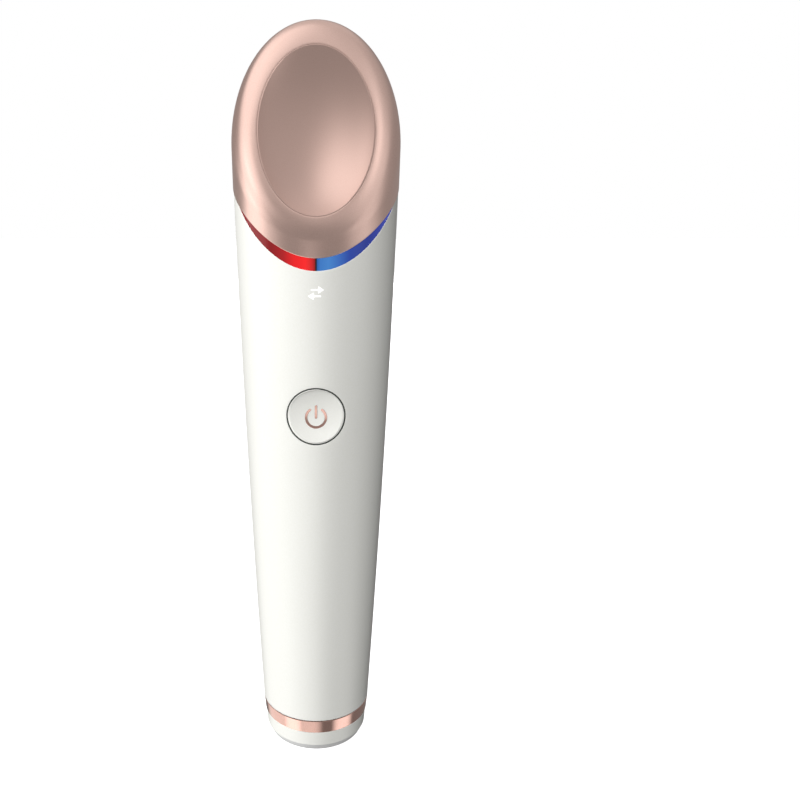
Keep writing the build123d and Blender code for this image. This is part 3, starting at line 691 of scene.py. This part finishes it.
def acrylicMaterial(name, stops, side):
    # dyed acrylic lit from behind, with its glow painted in: an emission ramp that is strongest near
    # its lamp and fades towards the tip, and a base colour that is the same ramp darkened
    surface = {"Roughness": 0.14, "IOR": 1.49, "Emission Strength": guide["glow"]}
    material, tree, shader = newMaterial(name, surface)
    place = addNode(tree, "ShaderNodeTexCoord").outputs["Object"]
    across = addNode(tree, "ShaderNodeSeparateXYZ", {"Vector": place}).outputs["X"]
    span = guide["rampSpan"] * mm
    along = addNode(tree, "ShaderNodeMath", {0: across, 1: side / span}, operation="MULTIPLY")
    ramp = addNode(tree, "ShaderNodeValToRGB", {"Fac": along})
    elements = ramp.color_ramp.elements
    while len(elements) < len(stops):
        elements.new(0.5)
    for element, (distance, colour) in zip(elements, stops):
        element.position = distance * mm / span
        element.color = linear(colour)
    # the base colour carries the painted glow ramp too, darkened
    tintedGlow = {"Factor": guide["shade"], "A": ramp.outputs["Color"], "B": linear("#000000")}
    tintedGlowColour = addNode(tree, "ShaderNodeMix", tintedGlow, data_type="RGBA").outputs["Result"]
    tree.links.new(tintedGlowColour, shader.inputs["Base Color"])
    tree.links.new(ramp.outputs["Color"], shader.inputs["Emission Color"])
    return material


# distance from the split in mm, and the painted glow there: painted shade right at the split,
# brightest a few mm out, then dimmer along the strip
redStops = [(0.15, "#8c1518"), (0.8, "#c81d20"), (2.0, "#ee2224"), (4.2, "#de1f22")]
redStops += [(6.2, "#a51c20"), (8.5, "#84191d"), (14.0, "#8a2227")]
blueStops = [(0.15, "#27589c"), (0.8, "#3a74bc"), (2.4, "#437fc4"), (4.6, "#3865b4")]
blueStops += [(6.6, "#233f9a"), (9.5, "#22348a"), (14.0, "#3844a4")]
redAcrylic = acrylicMaterial("redLitAcrylic", redStops, -1)
blueAcrylic = acrylicMaterial("blueLitAcrylic", blueStops, 1)
dress(makeLightGuide("warmLightGuide", -1), "handle", "red_acrylic", redAcrylic, "warm_light_guide")
dress(makeLightGuide("coolLightGuide", 1), "handle", "blue_acrylic", blueAcrylic, "cool_light_guide")
print("light guides made")

# power button

button = {
    "z": handle["buttonZ"],
    "radius": 5.65,
    "sink": 0.05,
    "land": 0.1,
    "hollow": 1.24,
    "ballRadius": 6.0,
    "edgeRound": 0.05,
    "flangeRadius": 6.9,
    "flangeFront": -11.7,
    "flangeBack": -10.9,
    "stemRadius": 1.5,
    "stemEnd": -10.46,
    "columns": 160,
    "rings": 28,
}
buttonSkin, ballRadius = skinRadius(button["z"]), button["ballRadius"]
hollowRadius = button["radius"] - button["land"]
landBack = button["hollow"] - buttonSkin + sqrt(buttonSkin**2 - hollowRadius**2)
hollowX = hollowRadius / sqrt(1 - (1 - landBack / ballRadius) ** 2)
hollowZ = hollowRadius / sqrt(1 - (1 - button["hollow"] / ballRadius) ** 2)
hollowCentreY = -buttonSkin + button["hollow"] - ballRadius


def hollowDepth(x, rise):
    # Y of the hollow face at a place measured from the button's middle
    return hollowCentreY + ballRadius * sqrt(max(0, 1 - (x / hollowX) ** 2 - (rise / hollowZ) ** 2))


def landDepth(x, rise):
    return skinY(x, button["z"] + rise, button["sink"])


def buttonCircle(radius, depthAt, back=0.0):
    # a circle round the button's axis, on a surface
    ring = []
    for turn in fullTurn(button["columns"]):
        x, rise = radius * cos(turn), radius * sin(turn)
        ring.append((x, depthAt(x, rise) + back, button["z"] + rise))
    return ring


def makePowerButton():
    rings = []
    for r in range(1, button["rings"]):
        rings.append(buttonCircle(hollowRadius * r / button["rings"], hollowDepth))
    rings.append(buttonCircle(hollowRadius, landDepth))
    for inwards, back in quarterRound(button["edgeRound"]):
        rings.append(buttonCircle(button["radius"] - inwards, landDepth, back))
    for radius, y in (
        (button["radius"], button["flangeFront"]),
        (button["flangeRadius"], button["flangeFront"]),
        (button["flangeRadius"], button["flangeBack"]),
        (button["stemRadius"], button["flangeBack"]),
        (button["stemRadius"], button["stemEnd"]),
    ):
        rings.append(buttonCircle(radius, lambda x, rise: y))
    return ringsMesh("powerButton", rings, sharpAngle=35)


dress(makePowerButton(), "button", "white_abs", whiteAbs, "power_button")

# a nearly black ring that sits in the button's gap as painted shade
gapShadeRing = {"innerRadius": 5.69, "outerRadius": 5.95, "sink": 0.07, "thickness": 0.5}


def makeGapShadeRing():
    # a dark ring of painted shade in the gap round the button, seen as a fine line
    inner, outer = gapShadeRing["innerRadius"], gapShadeRing["outerRadius"]
    front, back = gapShadeRing["sink"], gapShadeRing["sink"] + gapShadeRing["thickness"]
    rings = []
    for radius, sink in ((inner, front), (outer, front), (outer, back), (inner, back)):
        rings.append(buttonCircle(radius, lambda x, rise: skinY(x, button["z"] + rise, sink)))
    return ringsMesh("buttonGapShadeRing", rings, closed=True, sharpAngle=35)


dress(makeGapShadeRing(), "handle", "grey_rubber", gapShadeRubber)

boot = {
    "radius": 4.8,
    "bulge": 0.7,
    "wall": 0.7,
    "boardY": -7.66,
    "buttonY": -10.89,
    "travel": 0.5,
    "foldRound": 0.45,
    "endRound": 0.12,
    "columns": 96,
}
# moulded silicone: dull and a little milky
bootSilicone = finish("milkySilicone", "#b7b7b2", "#c6c6c2", 0.5, 0.25, 0.002)


def makeButtonBoot():
    # a bellows with one round fold, made in one fixed shape; the real one closes up as the button
    # goes down
    outer, inner = boot["radius"], boot["radius"] - boot["wall"]
    foldY = (boot["boardY"] + boot["buttonY"]) / 2
    profile = roundedProfile(
        [
            (outer, boot["boardY"], boot["endRound"]),
            (outer + boot["bulge"], foldY, boot["foldRound"]),
            (outer, boot["buttonY"], boot["endRound"]),
            (inner, boot["buttonY"], boot["endRound"]),
            (inner + boot["bulge"], foldY, boot["foldRound"]),
            (inner, boot["boardY"], boot["endRound"]),
        ]
    )
    turns = fullTurn(boot["columns"])
    rings = [[(r * cos(t), y, button["z"] + r * sin(t)) for t in turns] for r, y in profile]
    return ringsMesh("buttonBoot", rings, closed=True)


bootPiece = dress(makeButtonBoot(), "handle", "silicone", bootSilicone, "button_boot")
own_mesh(bootPiece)

symbol = {
    "radius": 2.26,
    "stroke": 0.54,
    "drop": 0.42,
    "gap": 60.0,
    "barTop": 2.18,
    "barLength": 2.85,
    "proud": 0.02,
    "depth": 0.28,
    "edge": 0.03,
    "edgeFoot": 0.6,  # the edge starts this share of itself under the face
    "edgeBend": (0.3, 0.5),  # and bends at these shares of its width and of the ribbon's height
    "edgeMost": 3,  # a half width has room for this many edges, also at the round ends
    "support": 0.03,
    "arcSteps": 72,
    "barSteps": 12,
    "capSteps": 6,
}


def ribbonRings(line, stroke):
    # cross sections along a line on the hollow face, with round ends
    half, last = stroke / 2, len(line) - 1
    capTurns = [pi / 2 * k / symbol["capSteps"] for k in range(1, symbol["capSteps"])]
    stations = [(0, -sin(t) * half, cos(t) * half) for t in reversed(capTurns)]
    stations += [(k, 0.0, half) for k in range(len(line))]
    stations += [(last, sin(t) * half, cos(t) * half) for t in capTurns]
    proud, depth, (bendIn, bendUp) = symbol["proud"], symbol["depth"], symbol["edgeBend"]
    rings = []
    for k, past, width in stations:
        ahead = Vector(line[min(k + 1, last)]) - Vector(line[max(k - 1, 0)])
        ahead.normalize()
        side = Vector((-ahead.y, ahead.x))
        middle = Vector(line[k]) + ahead * past
        edge = min(symbol["edge"], width / symbol["edgeMost"])
        flank = [
            (width, -depth),
            (width, -symbol["edge"] * symbol["edgeFoot"]),
            (width - edge * bendIn, proud * bendUp),
            (width - edge, proud),
            (width - edge - min(symbol["support"], width / symbol["edgeMost"]), proud),
        ]
        section = [(-across, lift) for across, lift in flank] + [(0, proud)] + flank[::-1]
        ring = []
        for across, lift in section + [(0, -depth)]:
            x, rise = middle + side * across
            ring.append((x, hollowDepth(x, rise) - lift, button["z"] + rise))
        rings.append(ring)
    return rings


def makePowerSymbol():
    half, arcSteps, barSteps = symbol["stroke"] / 2, symbol["arcSteps"], symbol["barSteps"]
    radius = symbol["radius"] - half
    gap = radians(symbol["gap"] / 2) + half / radius
    arc = []
    for k in range(arcSteps + 1):
        turn = pi / 2 + gap + (2 * pi - 2 * gap) * k / arcSteps
        arc.append((radius * cos(turn), radius * sin(turn) - symbol["drop"]))
    top, bottom = symbol["barTop"] - half, symbol["barTop"] - symbol["barLength"] + half
    bar = [(0, bottom + (top - bottom) * k / barSteps) for k in range(barSteps + 1)]
    points, faces = [], []
    for line in (arc, bar):
        linePoints, lineFaces = skinOver(ribbonRings(line, symbol["stroke"]))
        faces += [tuple(k + len(points) for k in face) for face in lineFaces]
        points += linePoints
    return addMesh("powerSymbol", points, faces, sharpAngle=60)


dress(makePowerSymbol(), "button", "rose_chrome", rosePlating, "power_symbol")
print("button made")

# swap icon printed on the handle

icon = {
    "z": 104.3,
    "halfWidth": 1.55,
    "rowGap": 1.2,  # height between the two arrows
    "headLength": 1.12,
    "headHalf": 0.7,
    "shaftHalf": 0.15,
    "shift": 0.3,
    "proud": 0.012,
    "steps": 8,
    # strength of the ink's painted glow
    "glow": 0.35,
}


def makeSwapIcon():
    # two opposed arrows, laid on the skin as thin ink
    points, faces = [], []
    shares = [k / icon["steps"] for k in range(icon["steps"] + 1)]
    for sign in (1, -1):
        tipX = sign * icon["halfWidth"]
        neckX = tipX - sign * icon["headLength"]
        tailX = -sign * (icon["halfWidth"] - 2 * icon["shift"])
        columns = [(tipX + (neckX - tipX) * share, icon["headHalf"] * share) for share in shares]
        columns += [(neckX + (tailX - neckX) * share, icon["shaftHalf"]) for share in shares]
        rows = []
        for x, half in columns:
            for height in (half, -half):
                z = icon["z"] + sign * icon["rowGap"] / 2 + height
                rows.append((len(points), len(points) + 1))
                points += [(x, skinY(x, z, -icon["proud"]), z), (x, skinY(x, z), z)]
        for k in range(0, len(rows) - 2, 2):
            (a, aIn), (b, bIn), (d, dIn), (c, cIn) = rows[k : k + 4]
            faces += [(a, b, c, d), (dIn, cIn, bIn, aIn), (b, bIn, cIn, c), (d, dIn, aIn, a)]
        (a, aIn), (b, bIn) = rows[-2:]
        faces.append((a, aIn, bIn, b))
    return addMesh("swapIcon", points, faces, sharpAngle=30)


# pad-printed ink, plain white and a little glossier than the shell, with a painted glow that lifts
# it above the lit shell
glowingWhiteInk = finish("glowingWhiteInk", "#fdfdfc", "#ffffff", 0.3, 0.2, 0.0005)
inkInputs = glowingWhiteInk.node_tree.nodes["Principled BSDF"].inputs
# the ink is given a painted glow, an emission that no lamp gives it
inkInputs["Emission Color"].default_value = linear("#ffffff")
inkInputs["Emission Strength"].default_value = icon["glow"]
dress(makeSwapIcon(), "handle", "white_abs", glowingWhiteInk)
print("icon made")

# base: trim ring, cap and foot

base = {
    "axisGap": 0.01,  # a turned profile stops short of the axis, and a fan closes it
    "footHeight": 1.6,
    "footRound": 0.2,
    "restRadius": 10.75,
    "capLowRadius": 11.55,
    "capHighRadius": 11.8,
    "capTopZ": 4.95,
    "edgeRound": 0.1,
    "spigotRadius": 10.35,
    "spigotTopZ": 13.0,
    "spigotWall": 1.75,
    "spigotRound": 0.2,
    "ringInset": 0.1,
    "ringLowRadius": 11.95,
    "ringHighRadius": 12.25,
    "ringTopZ": 8.2,
    "ringGap": 0.1,  # dark line over and under the ring
    "floorZ": 4.2,
    "contactX": 3.2,
    "contactHole": 1.55,
    "holeColumns": 64,
    "holeReach": 1.0,  # how far the cutter goes past both faces
}


def makeTrimRing():
    inner, edge = base["spigotRadius"] + base["ringInset"], base["edgeRound"]
    low, high = base["capTopZ"] + base["ringGap"], base["ringTopZ"] - base["ringGap"]
    corners = [
        (inner, low, 0),
        (base["ringLowRadius"], low, edge),
        (base["ringHighRadius"], high, edge),
        (inner, high, 0),
    ]
    return lathe("trimRing", corners)


def makeBaseCap():
    outer, inner = base["spigotRadius"], base["spigotRadius"] - base["spigotWall"]
    corners = [
        (base["axisGap"], base["footHeight"], 0),
        (base["capLowRadius"], base["footHeight"], 0),
        (base["capHighRadius"], base["capTopZ"], base["edgeRound"]),
        (outer, base["capTopZ"], 0),
        (outer, base["spigotTopZ"], base["spigotRound"]),
        (inner, base["spigotTopZ"], base["spigotRound"]),
        (inner, base["floorZ"], 0),
        (base["axisGap"], base["floorZ"], 0),
    ]
    return lathe("baseCap", corners, closed=False)


def settled(piece):
    # the piece's mesh with its modifiers worked in
    bpy.context.view_layer.update()
    whole = piece.evaluated_get(bpy.context.evaluated_depsgraph_get())
    mesh = bpy.data.meshes.new_from_object(whole)
    piece.modifiers.clear()
    return mesh


def makeBaseFoot():
    # the pad is turned, then its two contact holes are cut through
    corners = [
        (base["axisGap"], 0, 0),
        (base["restRadius"], 0, base["footRound"]),
        (base["capLowRadius"], base["footHeight"], 0),
        (base["axisGap"], base["footHeight"], 0),
    ]
    pad = lathe("baseFoot", corners, closed=False)
    ends = (-base["holeReach"], base["footHeight"] + base["holeReach"])
    hole = [(base["contactHole"], z, 0) for z in ends]
    for side in (-1, 1):
        axisX = side * base["contactX"]
        cutter = lathe("contactHole", hole, base["holeColumns"], axisX, closed=False)
        pad.modifiers.new("cut", "BOOLEAN").object = cutter
        pad.data = settled(pad)
        bpy.data.objects.remove(cutter)
    pad.data.set_sharp_from_angle(angle=radians(35))
    return pad


dress(makeTrimRing(), "handle", "rose_chrome", rosePlating, "trim_ring")
dress(makeBaseCap(), "handle", "white_abs", whiteAbs, "base_cap")
dress(makeBaseFoot(), "handle", "grey_rubber", greyRubber, "base_foot")
print("base made")

# screws: one tree of Geometry Nodes makes all four sets

screw = {
    "headRadius": 1.7,
    "headHeight": 0.9,
    "headSides": 48,
    "shankRadius": 0.78,
    "shankSides": 32,
    "threadRadius": 0.1,
    "threadPitch": 0.7,
    "threadSteps": 24,  # in one turn
    "threadSides": 6,
    "recessLength": 2.0,
    "recessWidth": 0.5,
    "recessDepth": 0.55,
}
# which way each set points, from head to tip
screwAxes = {
    "base_screws": Vector((0, 0, 1)),
    "board_screws": Vector((0, 1, 0)),
    "head_screws": Vector((0, 0, 1)),
    "sink_screws": slantNormal,
}


def newScrewTree():
    # stands a cross-recess screw on every point of the mesh that it is given
    tree = bpy.data.node_groups.new("panHeadScrews", "GeometryNodeTree")
    tree.is_modifier = True
    sockets = {"Places": "Geometry", "Length": "Float", "Turn": "Vector", "Finish": "Material"}
    for name, kind in sockets.items():
        tree.interface.new_socket(name, in_out="INPUT", socket_type="NodeSocket" + kind)
    tree.interface.new_socket("Screws", in_out="OUTPUT", socket_type="NodeSocketGeometry")
    given = addNode(tree, "NodeGroupInput").outputs
    top, pitch, bore = (screw[key] * mm for key in ("headHeight", "threadPitch", "shankRadius"))

    def raised(shape, z):
        placed = {"Geometry": shape, "Translation": addNode(tree, "ShaderNodeCombineXYZ", {"Z": z})}
        return addNode(tree, "GeometryNodeTransform", placed)

    disc = {"Vertices": screw["headSides"], "Radius": screw["headRadius"] * mm, "Depth": top}
    head = raised(addNode(tree, "GeometryNodeMeshCylinder", disc), -top / 2)
    long, wide, deep = (screw["recess" + side] * mm for side in ("Length", "Width", "Depth"))
    for box in ((long, wide, 2 * deep), (wide, long, 2 * deep)):
        arm = raised(addNode(tree, "GeometryNodeMeshCube", {"Size": box}), -top)
        cut = {"Mesh 1": head, "Mesh 2": arm}
        head = addNode(tree, "GeometryNodeMeshBoolean", cut, operation="DIFFERENCE")
    half = addNode(tree, "ShaderNodeMath", {0: given["Length"], 1: 0.5}, operation="MULTIPLY")
    rod = {"Vertices": screw["shankSides"], "Radius": bore, "Depth": given["Length"]}
    shank = raised(addNode(tree, "GeometryNodeMeshCylinder", rod), half)
    # the thread is a fine bead wound round the shank, and stops short of its ends
    height = addNode(tree, "ShaderNodeMath", {0: given["Length"], 1: pitch}, operation="SUBTRACT")
    turns = addNode(tree, "ShaderNodeMath", {0: height, 1: pitch}, operation="DIVIDE")
    winding = {"Resolution": screw["threadSteps"], "Rotations": turns, "Height": height}
    winding.update({"Start Radius": bore, "End Radius": bore})
    circle = {"Resolution": screw["threadSides"], "Radius": screw["threadRadius"] * mm}
    sweep = {
        "Curve": addNode(tree, "GeometryNodeCurveSpiral", winding),
        "Profile Curve": addNode(tree, "GeometryNodeCurvePrimitiveCircle", circle),
        "Fill Caps": True,
    }
    thread = raised(addNode(tree, "GeometryNodeCurveToMesh", sweep), pitch / 2)
    whole = addNode(tree, "GeometryNodeJoinGeometry")
    for part in (head, shank, thread):
        tree.links.new(part.outputs[0], whole.inputs["Geometry"])
    rotation = addNode(tree, "FunctionNodeEulerToRotation", {"Euler": given["Turn"]})
    spread = {"Points": given["Places"], "Instance": whole, "Rotation": rotation}
    copies = addNode(tree, "GeometryNodeInstanceOnPoints", spread)
    real = addNode(tree, "GeometryNodeRealizeInstances", {"Geometry": copies})
    coat = {"Geometry": real, "Material": given["Finish"]}
    addNode(tree, "NodeGroupOutput", {"Screws": addNode(tree, "GeometryNodeSetMaterial", coat)})
    return tree


def screwPlaces(node, axis):
    # the underside of each head and the length of the shank, measured on the piece in the frame
    source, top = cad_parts[node], screw["headHeight"] * mm
    work = bmesh.new()
    work.from_mesh(source.data)
    work.transform(source.matrix_world)
    bmesh.ops.remove_doubles(work, verts=work.verts, dist=1e-6)
    work.verts.index_update()
    work.verts.ensure_lookup_table()
    left, places = set(range(len(work.verts))), []
    while left:
        # one screw: everything that its first point is joined to
        edge, island = {min(left)}, []
        while edge:
            left -= edge
            verts = [work.verts[k] for k in edge]
            island += [vert.co.copy() for vert in verts]
            near = {link.other_vert(vert).index for vert in verts for link in vert.link_edges}
            edge = near & left
        heights = [point.dot(axis) for point in island]
        low, high = min(heights), max(heights)
        # the head's outer rim alone gives the middle, as its points lie evenly round the axis
        rim = [point for point in island if point.dot(axis) < low + top / 2]
        middle = Vector([(min(values) + max(values)) / 2 for values in zip(*rim)])
        places.append(middle + axis * (low + top - middle.dot(axis)))
    work.free()
    return places, high - low - top


# zinc-plated steel: bright, slightly milky metal
zincSteel = finish("zincPlatedSteel", "#aeb0b3", "#bfc1c4", 0.3, 0.25, 0.002, 1.0)
screwTree = newScrewTree()
screwInputs = {item.name: item.identifier for item in screwTree.interface.items_tree}


def makeScrews(node, axis):
    places, length = screwPlaces(node, axis)
    mesh = bpy.data.meshes.new(node)
    mesh.from_pydata(places, [], [])
    piece = addObject(node.replace("_s", "S"), mesh)
    modifier = piece.modifiers.new("screws", "NODES")
    modifier.node_group = screwTree
    modifier[screwInputs["Length"]] = length
    modifier[screwInputs["Turn"]] = tuple(axis.to_track_quat("Z", "Y").to_euler())
    modifier[screwInputs["Finish"]] = zincSteel
    piece.data = settled(piece)
    piece.data.set_sharp_from_angle(angle=radians(35))
    return piece


for node, axis in screwAxes.items():
    dress(makeScrews(node, axis), "handle", "steel", zincSteel, node)
print("screws made")

# inner parts that keep their CAD shape: two colours, roughness and metallic

innerFinishes = {
    "temperature_sensor": ("#d8d6cc", "#e4e2da", 0.6, 0.0),
    "thermal_pad": ("#8d9aad", "#99a5b6", 0.7, 0.0),
    "heat_pump": ("#dedcd6", "#ebe9e4", 0.55, 0.0),
    "heat_sink": ("#c4c6c8", "#d2d4d6", 0.35, 1.0),
    "light_divider": ("#141416", "#1c1c1f", 0.5, 0.0),
    "switch_body": ("#1a1a1c", "#242427", 0.5, 0.0),
    "switch_plunger": ("#2b2b2e", "#353538", 0.45, 0.0),
    "main_board": ("#0b4a26", "#0f5a2f", 0.4, 0.0),
    "charge_board": ("#0b4a26", "#0f5a2f", 0.4, 0.0),
    "board_chips": ("#1b1c1e", "#26272a", 0.5, 0.0),
    "warm_lamp": ("#f2efe4", "#fbf8ee", 0.2, 0.0),
    "cool_lamp": ("#f2efe4", "#fbf8ee", 0.2, 0.0),
    "inner_frame": ("#4d4e52", "#57585c", 0.55, 0.0),
    "battery_cell": ("#2a6f9c", "#317aa8", 0.3, 0.0),
    "battery_tabs": ("#c8c4b8", "#d6d2c7", 0.3, 1.0),
    "motor_can": ("#b4b5b8", "#c4c5c8", 0.28, 1.0),
    "motor_sleeve": ("#a9aaa6", "#b6b7b3", 0.6, 0.0),
    "motor_shaft": ("#c0c1c4", "#cfd0d3", 0.2, 1.0),
    "motor_weight": ("#a6a29a", "#b5b1a8", 0.4, 1.0),
    "charge_contacts": ("#e2b45a", "#eec471", 0.22, 1.0),
    "base_seal": ("#8f908c", "#9b9c98", 0.55, 0.0),
    "head_seal": ("#8f908c", "#9b9c98", 0.55, 0.0),
}
innerGrain = (0.25, 0.002)  # size and depth
for node, (low, high, roughness, metallic) in innerFinishes.items():
    words = node.split("_")
    name = words[0] + "".join(word.capitalize() for word in words[1:]) + "Finish"
    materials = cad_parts[node].data.materials
    materials.clear()
    materials.append(finish(name, low, high, roughness, *innerGrain, metallic))
print("inner parts dressed")

# camera, light and floor

view = {
    "place": (0.0, -0.1697, 0.1203),
    "pitch": 13.56,  # degrees below level
    "lens": 36.0,
    "sensor": 36.0,
    "shift": 0.105,
    "clip": 0.005,
}
camera = addObject("camera", bpy.data.cameras.new("camera"))
camera.location = view["place"]
camera.rotation_euler = (radians(90 - view["pitch"]), 0, 0)
camera.data.lens = view["lens"]
camera.data.sensor_width = view["sensor"]
camera.data.shift_x = view["shift"]
camera.data.clip_start = view["clip"]
bpy.context.scene.camera = camera

lamps = {
    # azimuth from the front (to the right is positive), elevation, distance, size, power in watts
    "keyLamp": (-75, 14, 1.3, 0.6, 15.1),
    "frontLamp": (-4, 16, 1.3, 0.6, 12.2),
    "edgeLamp": (75, 10, 1.3, 0.5, 1.1),
    "backLamp": (168, 15, 1.3, 0.6, 9.0),
}
aim = Vector((0, 0, 0.085))  # a little over the middle of the wand


def direction(azimuth, elevation):
    # unit vector from the wand towards a place in the studio
    a, e = radians(azimuth), radians(elevation)
    return Vector((sin(a) * cos(e), -cos(a) * cos(e), sin(e)))


for name, (azimuth, elevation, distance, size, power) in lamps.items():
    data = bpy.data.lights.new(name, "AREA")
    data.shape = "DISK"
    data.size = size
    data.energy = power
    lamp = addObject(name, data)
    lamp.location = aim + direction(azimuth, elevation) * distance
    lamp.rotation_euler = direction(azimuth, elevation).to_track_quat("Z", "Y").to_euler()
    lamp.visible_glossy = False

# a white surround for the eye and for mirrors, and a low fill for the rest
studio = {"seen": 1.0, "fill": 0.05}
scene.world = bpy.data.worlds.new("studio")
tree = emptyTree(scene.world)
rays = addNode(tree, "ShaderNodeLightPath").outputs
seen = rays["Is Camera Ray"]
for kind in ("Is Glossy Ray", "Is Transmission Ray"):
    seen = addNode(tree, "ShaderNodeMath", {0: seen, 1: rays[kind]}, operation="MAXIMUM").outputs[0]
fill, white = (
    addNode(tree, "ShaderNodeBackground", {"Color": linear("#ffffff"), "Strength": studio[name]})
    for name in ("fill", "seen")
)
blend = addNode(tree, "ShaderNodeMixShader", {0: seen, 1: fill, 2: white})
addNode(tree, "ShaderNodeOutputWorld", {"Surface": blend})

# the floor glows white, and its glow is painted a little dimmer round the foot, a ring of painted
# shade in which the faint real shadow still shows
ground = {"half": 3000.0, "near": 0.9, "nearRadius": 12.0, "far": 1.0, "farRadius": 50.0}
half = ground["half"]
corners = [(-half, -half, 0), (half, -half, 0), (half, half, 0), (-half, half, 0)]
floor = addMesh("floor", corners, [(0, 1, 2, 3)])
surface = {"Base Color": linear("#e8e8e8"), "Roughness": 0.6, "Emission Color": linear("#ffffff")}
floorPaint, tree, shader = newMaterial("floorPaint", surface)
place = addNode(tree, "ShaderNodeTexCoord").outputs["Object"]
distance = addNode(tree, "ShaderNodeVectorMath", {0: place}, operation="LENGTH").outputs["Value"]
fade = {"Value": distance, "To Min": ground["near"], "To Max": ground["far"]}
fade.update({"From Min": ground["nearRadius"] * mm, "From Max": ground["farRadius"] * mm})
strength = addNode(tree, "ShaderNodeMapRange", fade)
tree.links.new(strength.outputs["Result"], shader.inputs["Emission Strength"])
floor.data.materials.append(floorPaint)
floor.visible_diffuse = False
floor.visible_glossy = False

# a tent that only reflections see: soft boxes in a dim room
tent = {
    "radius": 1.5,  # in metres
    "centreZ": 0.1,
    "room": 0.31,
    "under": 0.19,  # brightness from below
    "underEdge": (-25, -8),  # elevations between which the room takes over
    "colour": "#fffdfa",
    # azimuth, elevation, angle of the full core and of the soft edge, brightness
    "boxes": {
        "leftStrip": (-93, -1, 14, 27, 1.05),
        "leftHigh": (-71, 75, 2, 23, 1.36),
        "leftBack": (-107, 60, 2, 27, 1.26),
        "backHigh": (-175, 66, 18, 40, 0.62),
        "rightStrip": (61, 12, 11, 30, 0.76),
        "rightHigh": (123, 77, 24, 65, 0.45),
        "ringFarLeft": (-105, -42, 12, 38, 0.95),
        "ringLeft": (-58, -45, 2, 24, 1.5),
        "ringMiddle": (-18, -46, 6, 28, 0.85),
        "ringRight": (67, -45, 2, 23, 1.15),
        "symbolGlow": (-9, -21, 9, 18, 0.9),
    },
}
# a second tent lights the rolled rim of the shroud alone, over what the first one gives
rimTent = {
    "radius": 1.4,
    "boxes": {
        "leftEdge": (-57, 48, 6, 17, 1.05),
        "leftLow": (-74, 28, 13, 23, 1.05),
        "leftFoot": (-85, -12, 22, 40, 0.33),
        "rightCrown": (39, 63, 2, 12, 1.0),
        "rightEdge": (52, 44, 10, 22, 0.45),
        "rightFoot": (81, -5, 3, 20, 0.3),
    },
}


def makeTent(name, radius):
    # a sphere round the wand: returns it, its tree and the direction that a point on it lies in
    bpy.ops.mesh.primitive_uv_sphere_add(segments=48, ring_count=24, radius=radius)
    wall = bpy.context.object
    wall.name = name
    wall.location = (0, 0, tent["centreZ"])
    for flag in ("camera", "diffuse", "shadow", "transmission", "volume_scatter"):
        setattr(wall, "visible_" + flag, False)
    paint = bpy.data.materials.new(name + "Paint")
    tree = emptyTree(paint)
    wall.data.materials.append(paint)
    place = addNode(tree, "ShaderNodeTexCoord").outputs["Object"]
    return wall, tree, addNode(tree, "ShaderNodeVectorMath", {0: place}, operation="NORMALIZE")


def softBoxes(tree, facing, boxes, total, operation):
    # an emission with the boxes' brightness in each direction, over or added to a total
    for azimuth, elevation, core, rim, brightness in boxes.values():
        towards = {0: facing, 1: direction(azimuth, elevation)}
        along = addNode(tree, "ShaderNodeVectorMath", towards, operation="DOT_PRODUCT")
        edge = {"From Min": cos(radians(rim)), "From Max": cos(radians(core))}
        level = {"Value": along.outputs["Value"], **edge, "To Min": 0.0, "To Max": brightness}
        box = addNode(tree, "ShaderNodeMapRange", level, interpolation_type="SMOOTHSTEP")
        total = addNode(tree, "ShaderNodeMath", {0: total, 1: box}, operation=operation)
    return addNode(tree, "ShaderNodeEmission", {"Color": linear(tent["colour"]), "Strength": total})


_, tree, facing = makeTent("reflectionTent", tent["radius"])
height = addNode(tree, "ShaderNodeSeparateXYZ", {"Vector": facing}).outputs["Z"]
fade = {"Value": height, "To Min": tent["under"], "To Max": tent["room"]}
for socket, elevation in zip(("From Min", "From Max"), tent["underEdge"]):
    fade[socket] = sin(radians(elevation))
room = addNode(tree, "ShaderNodeMapRange", fade)
glow = softBoxes(tree, facing, tent["boxes"], room, "MAXIMUM")
addNode(tree, "ShaderNodeOutputMaterial", {"Surface": glow})

rimWall, tree, facing = makeTent("rimTent", rimTent["radius"])
glow = softBoxes(tree, facing, rimTent["boxes"], 0.0, "ADD")
clear = addNode(tree, "ShaderNodeBsdfTransparent")
both = addNode(tree, "ShaderNodeAddShader", {0: glow, 1: clear})
addNode(tree, "ShaderNodeOutputMaterial", {"Surface": both})
shroudOnly = bpy.data.collections.new("shroudOnly")
shroudOnly.objects.link(shroud)
rimWall.light_linking.receiver_collection = shroudOnly

scene.view_settings.view_transform = "Standard"
print("camera and light set")
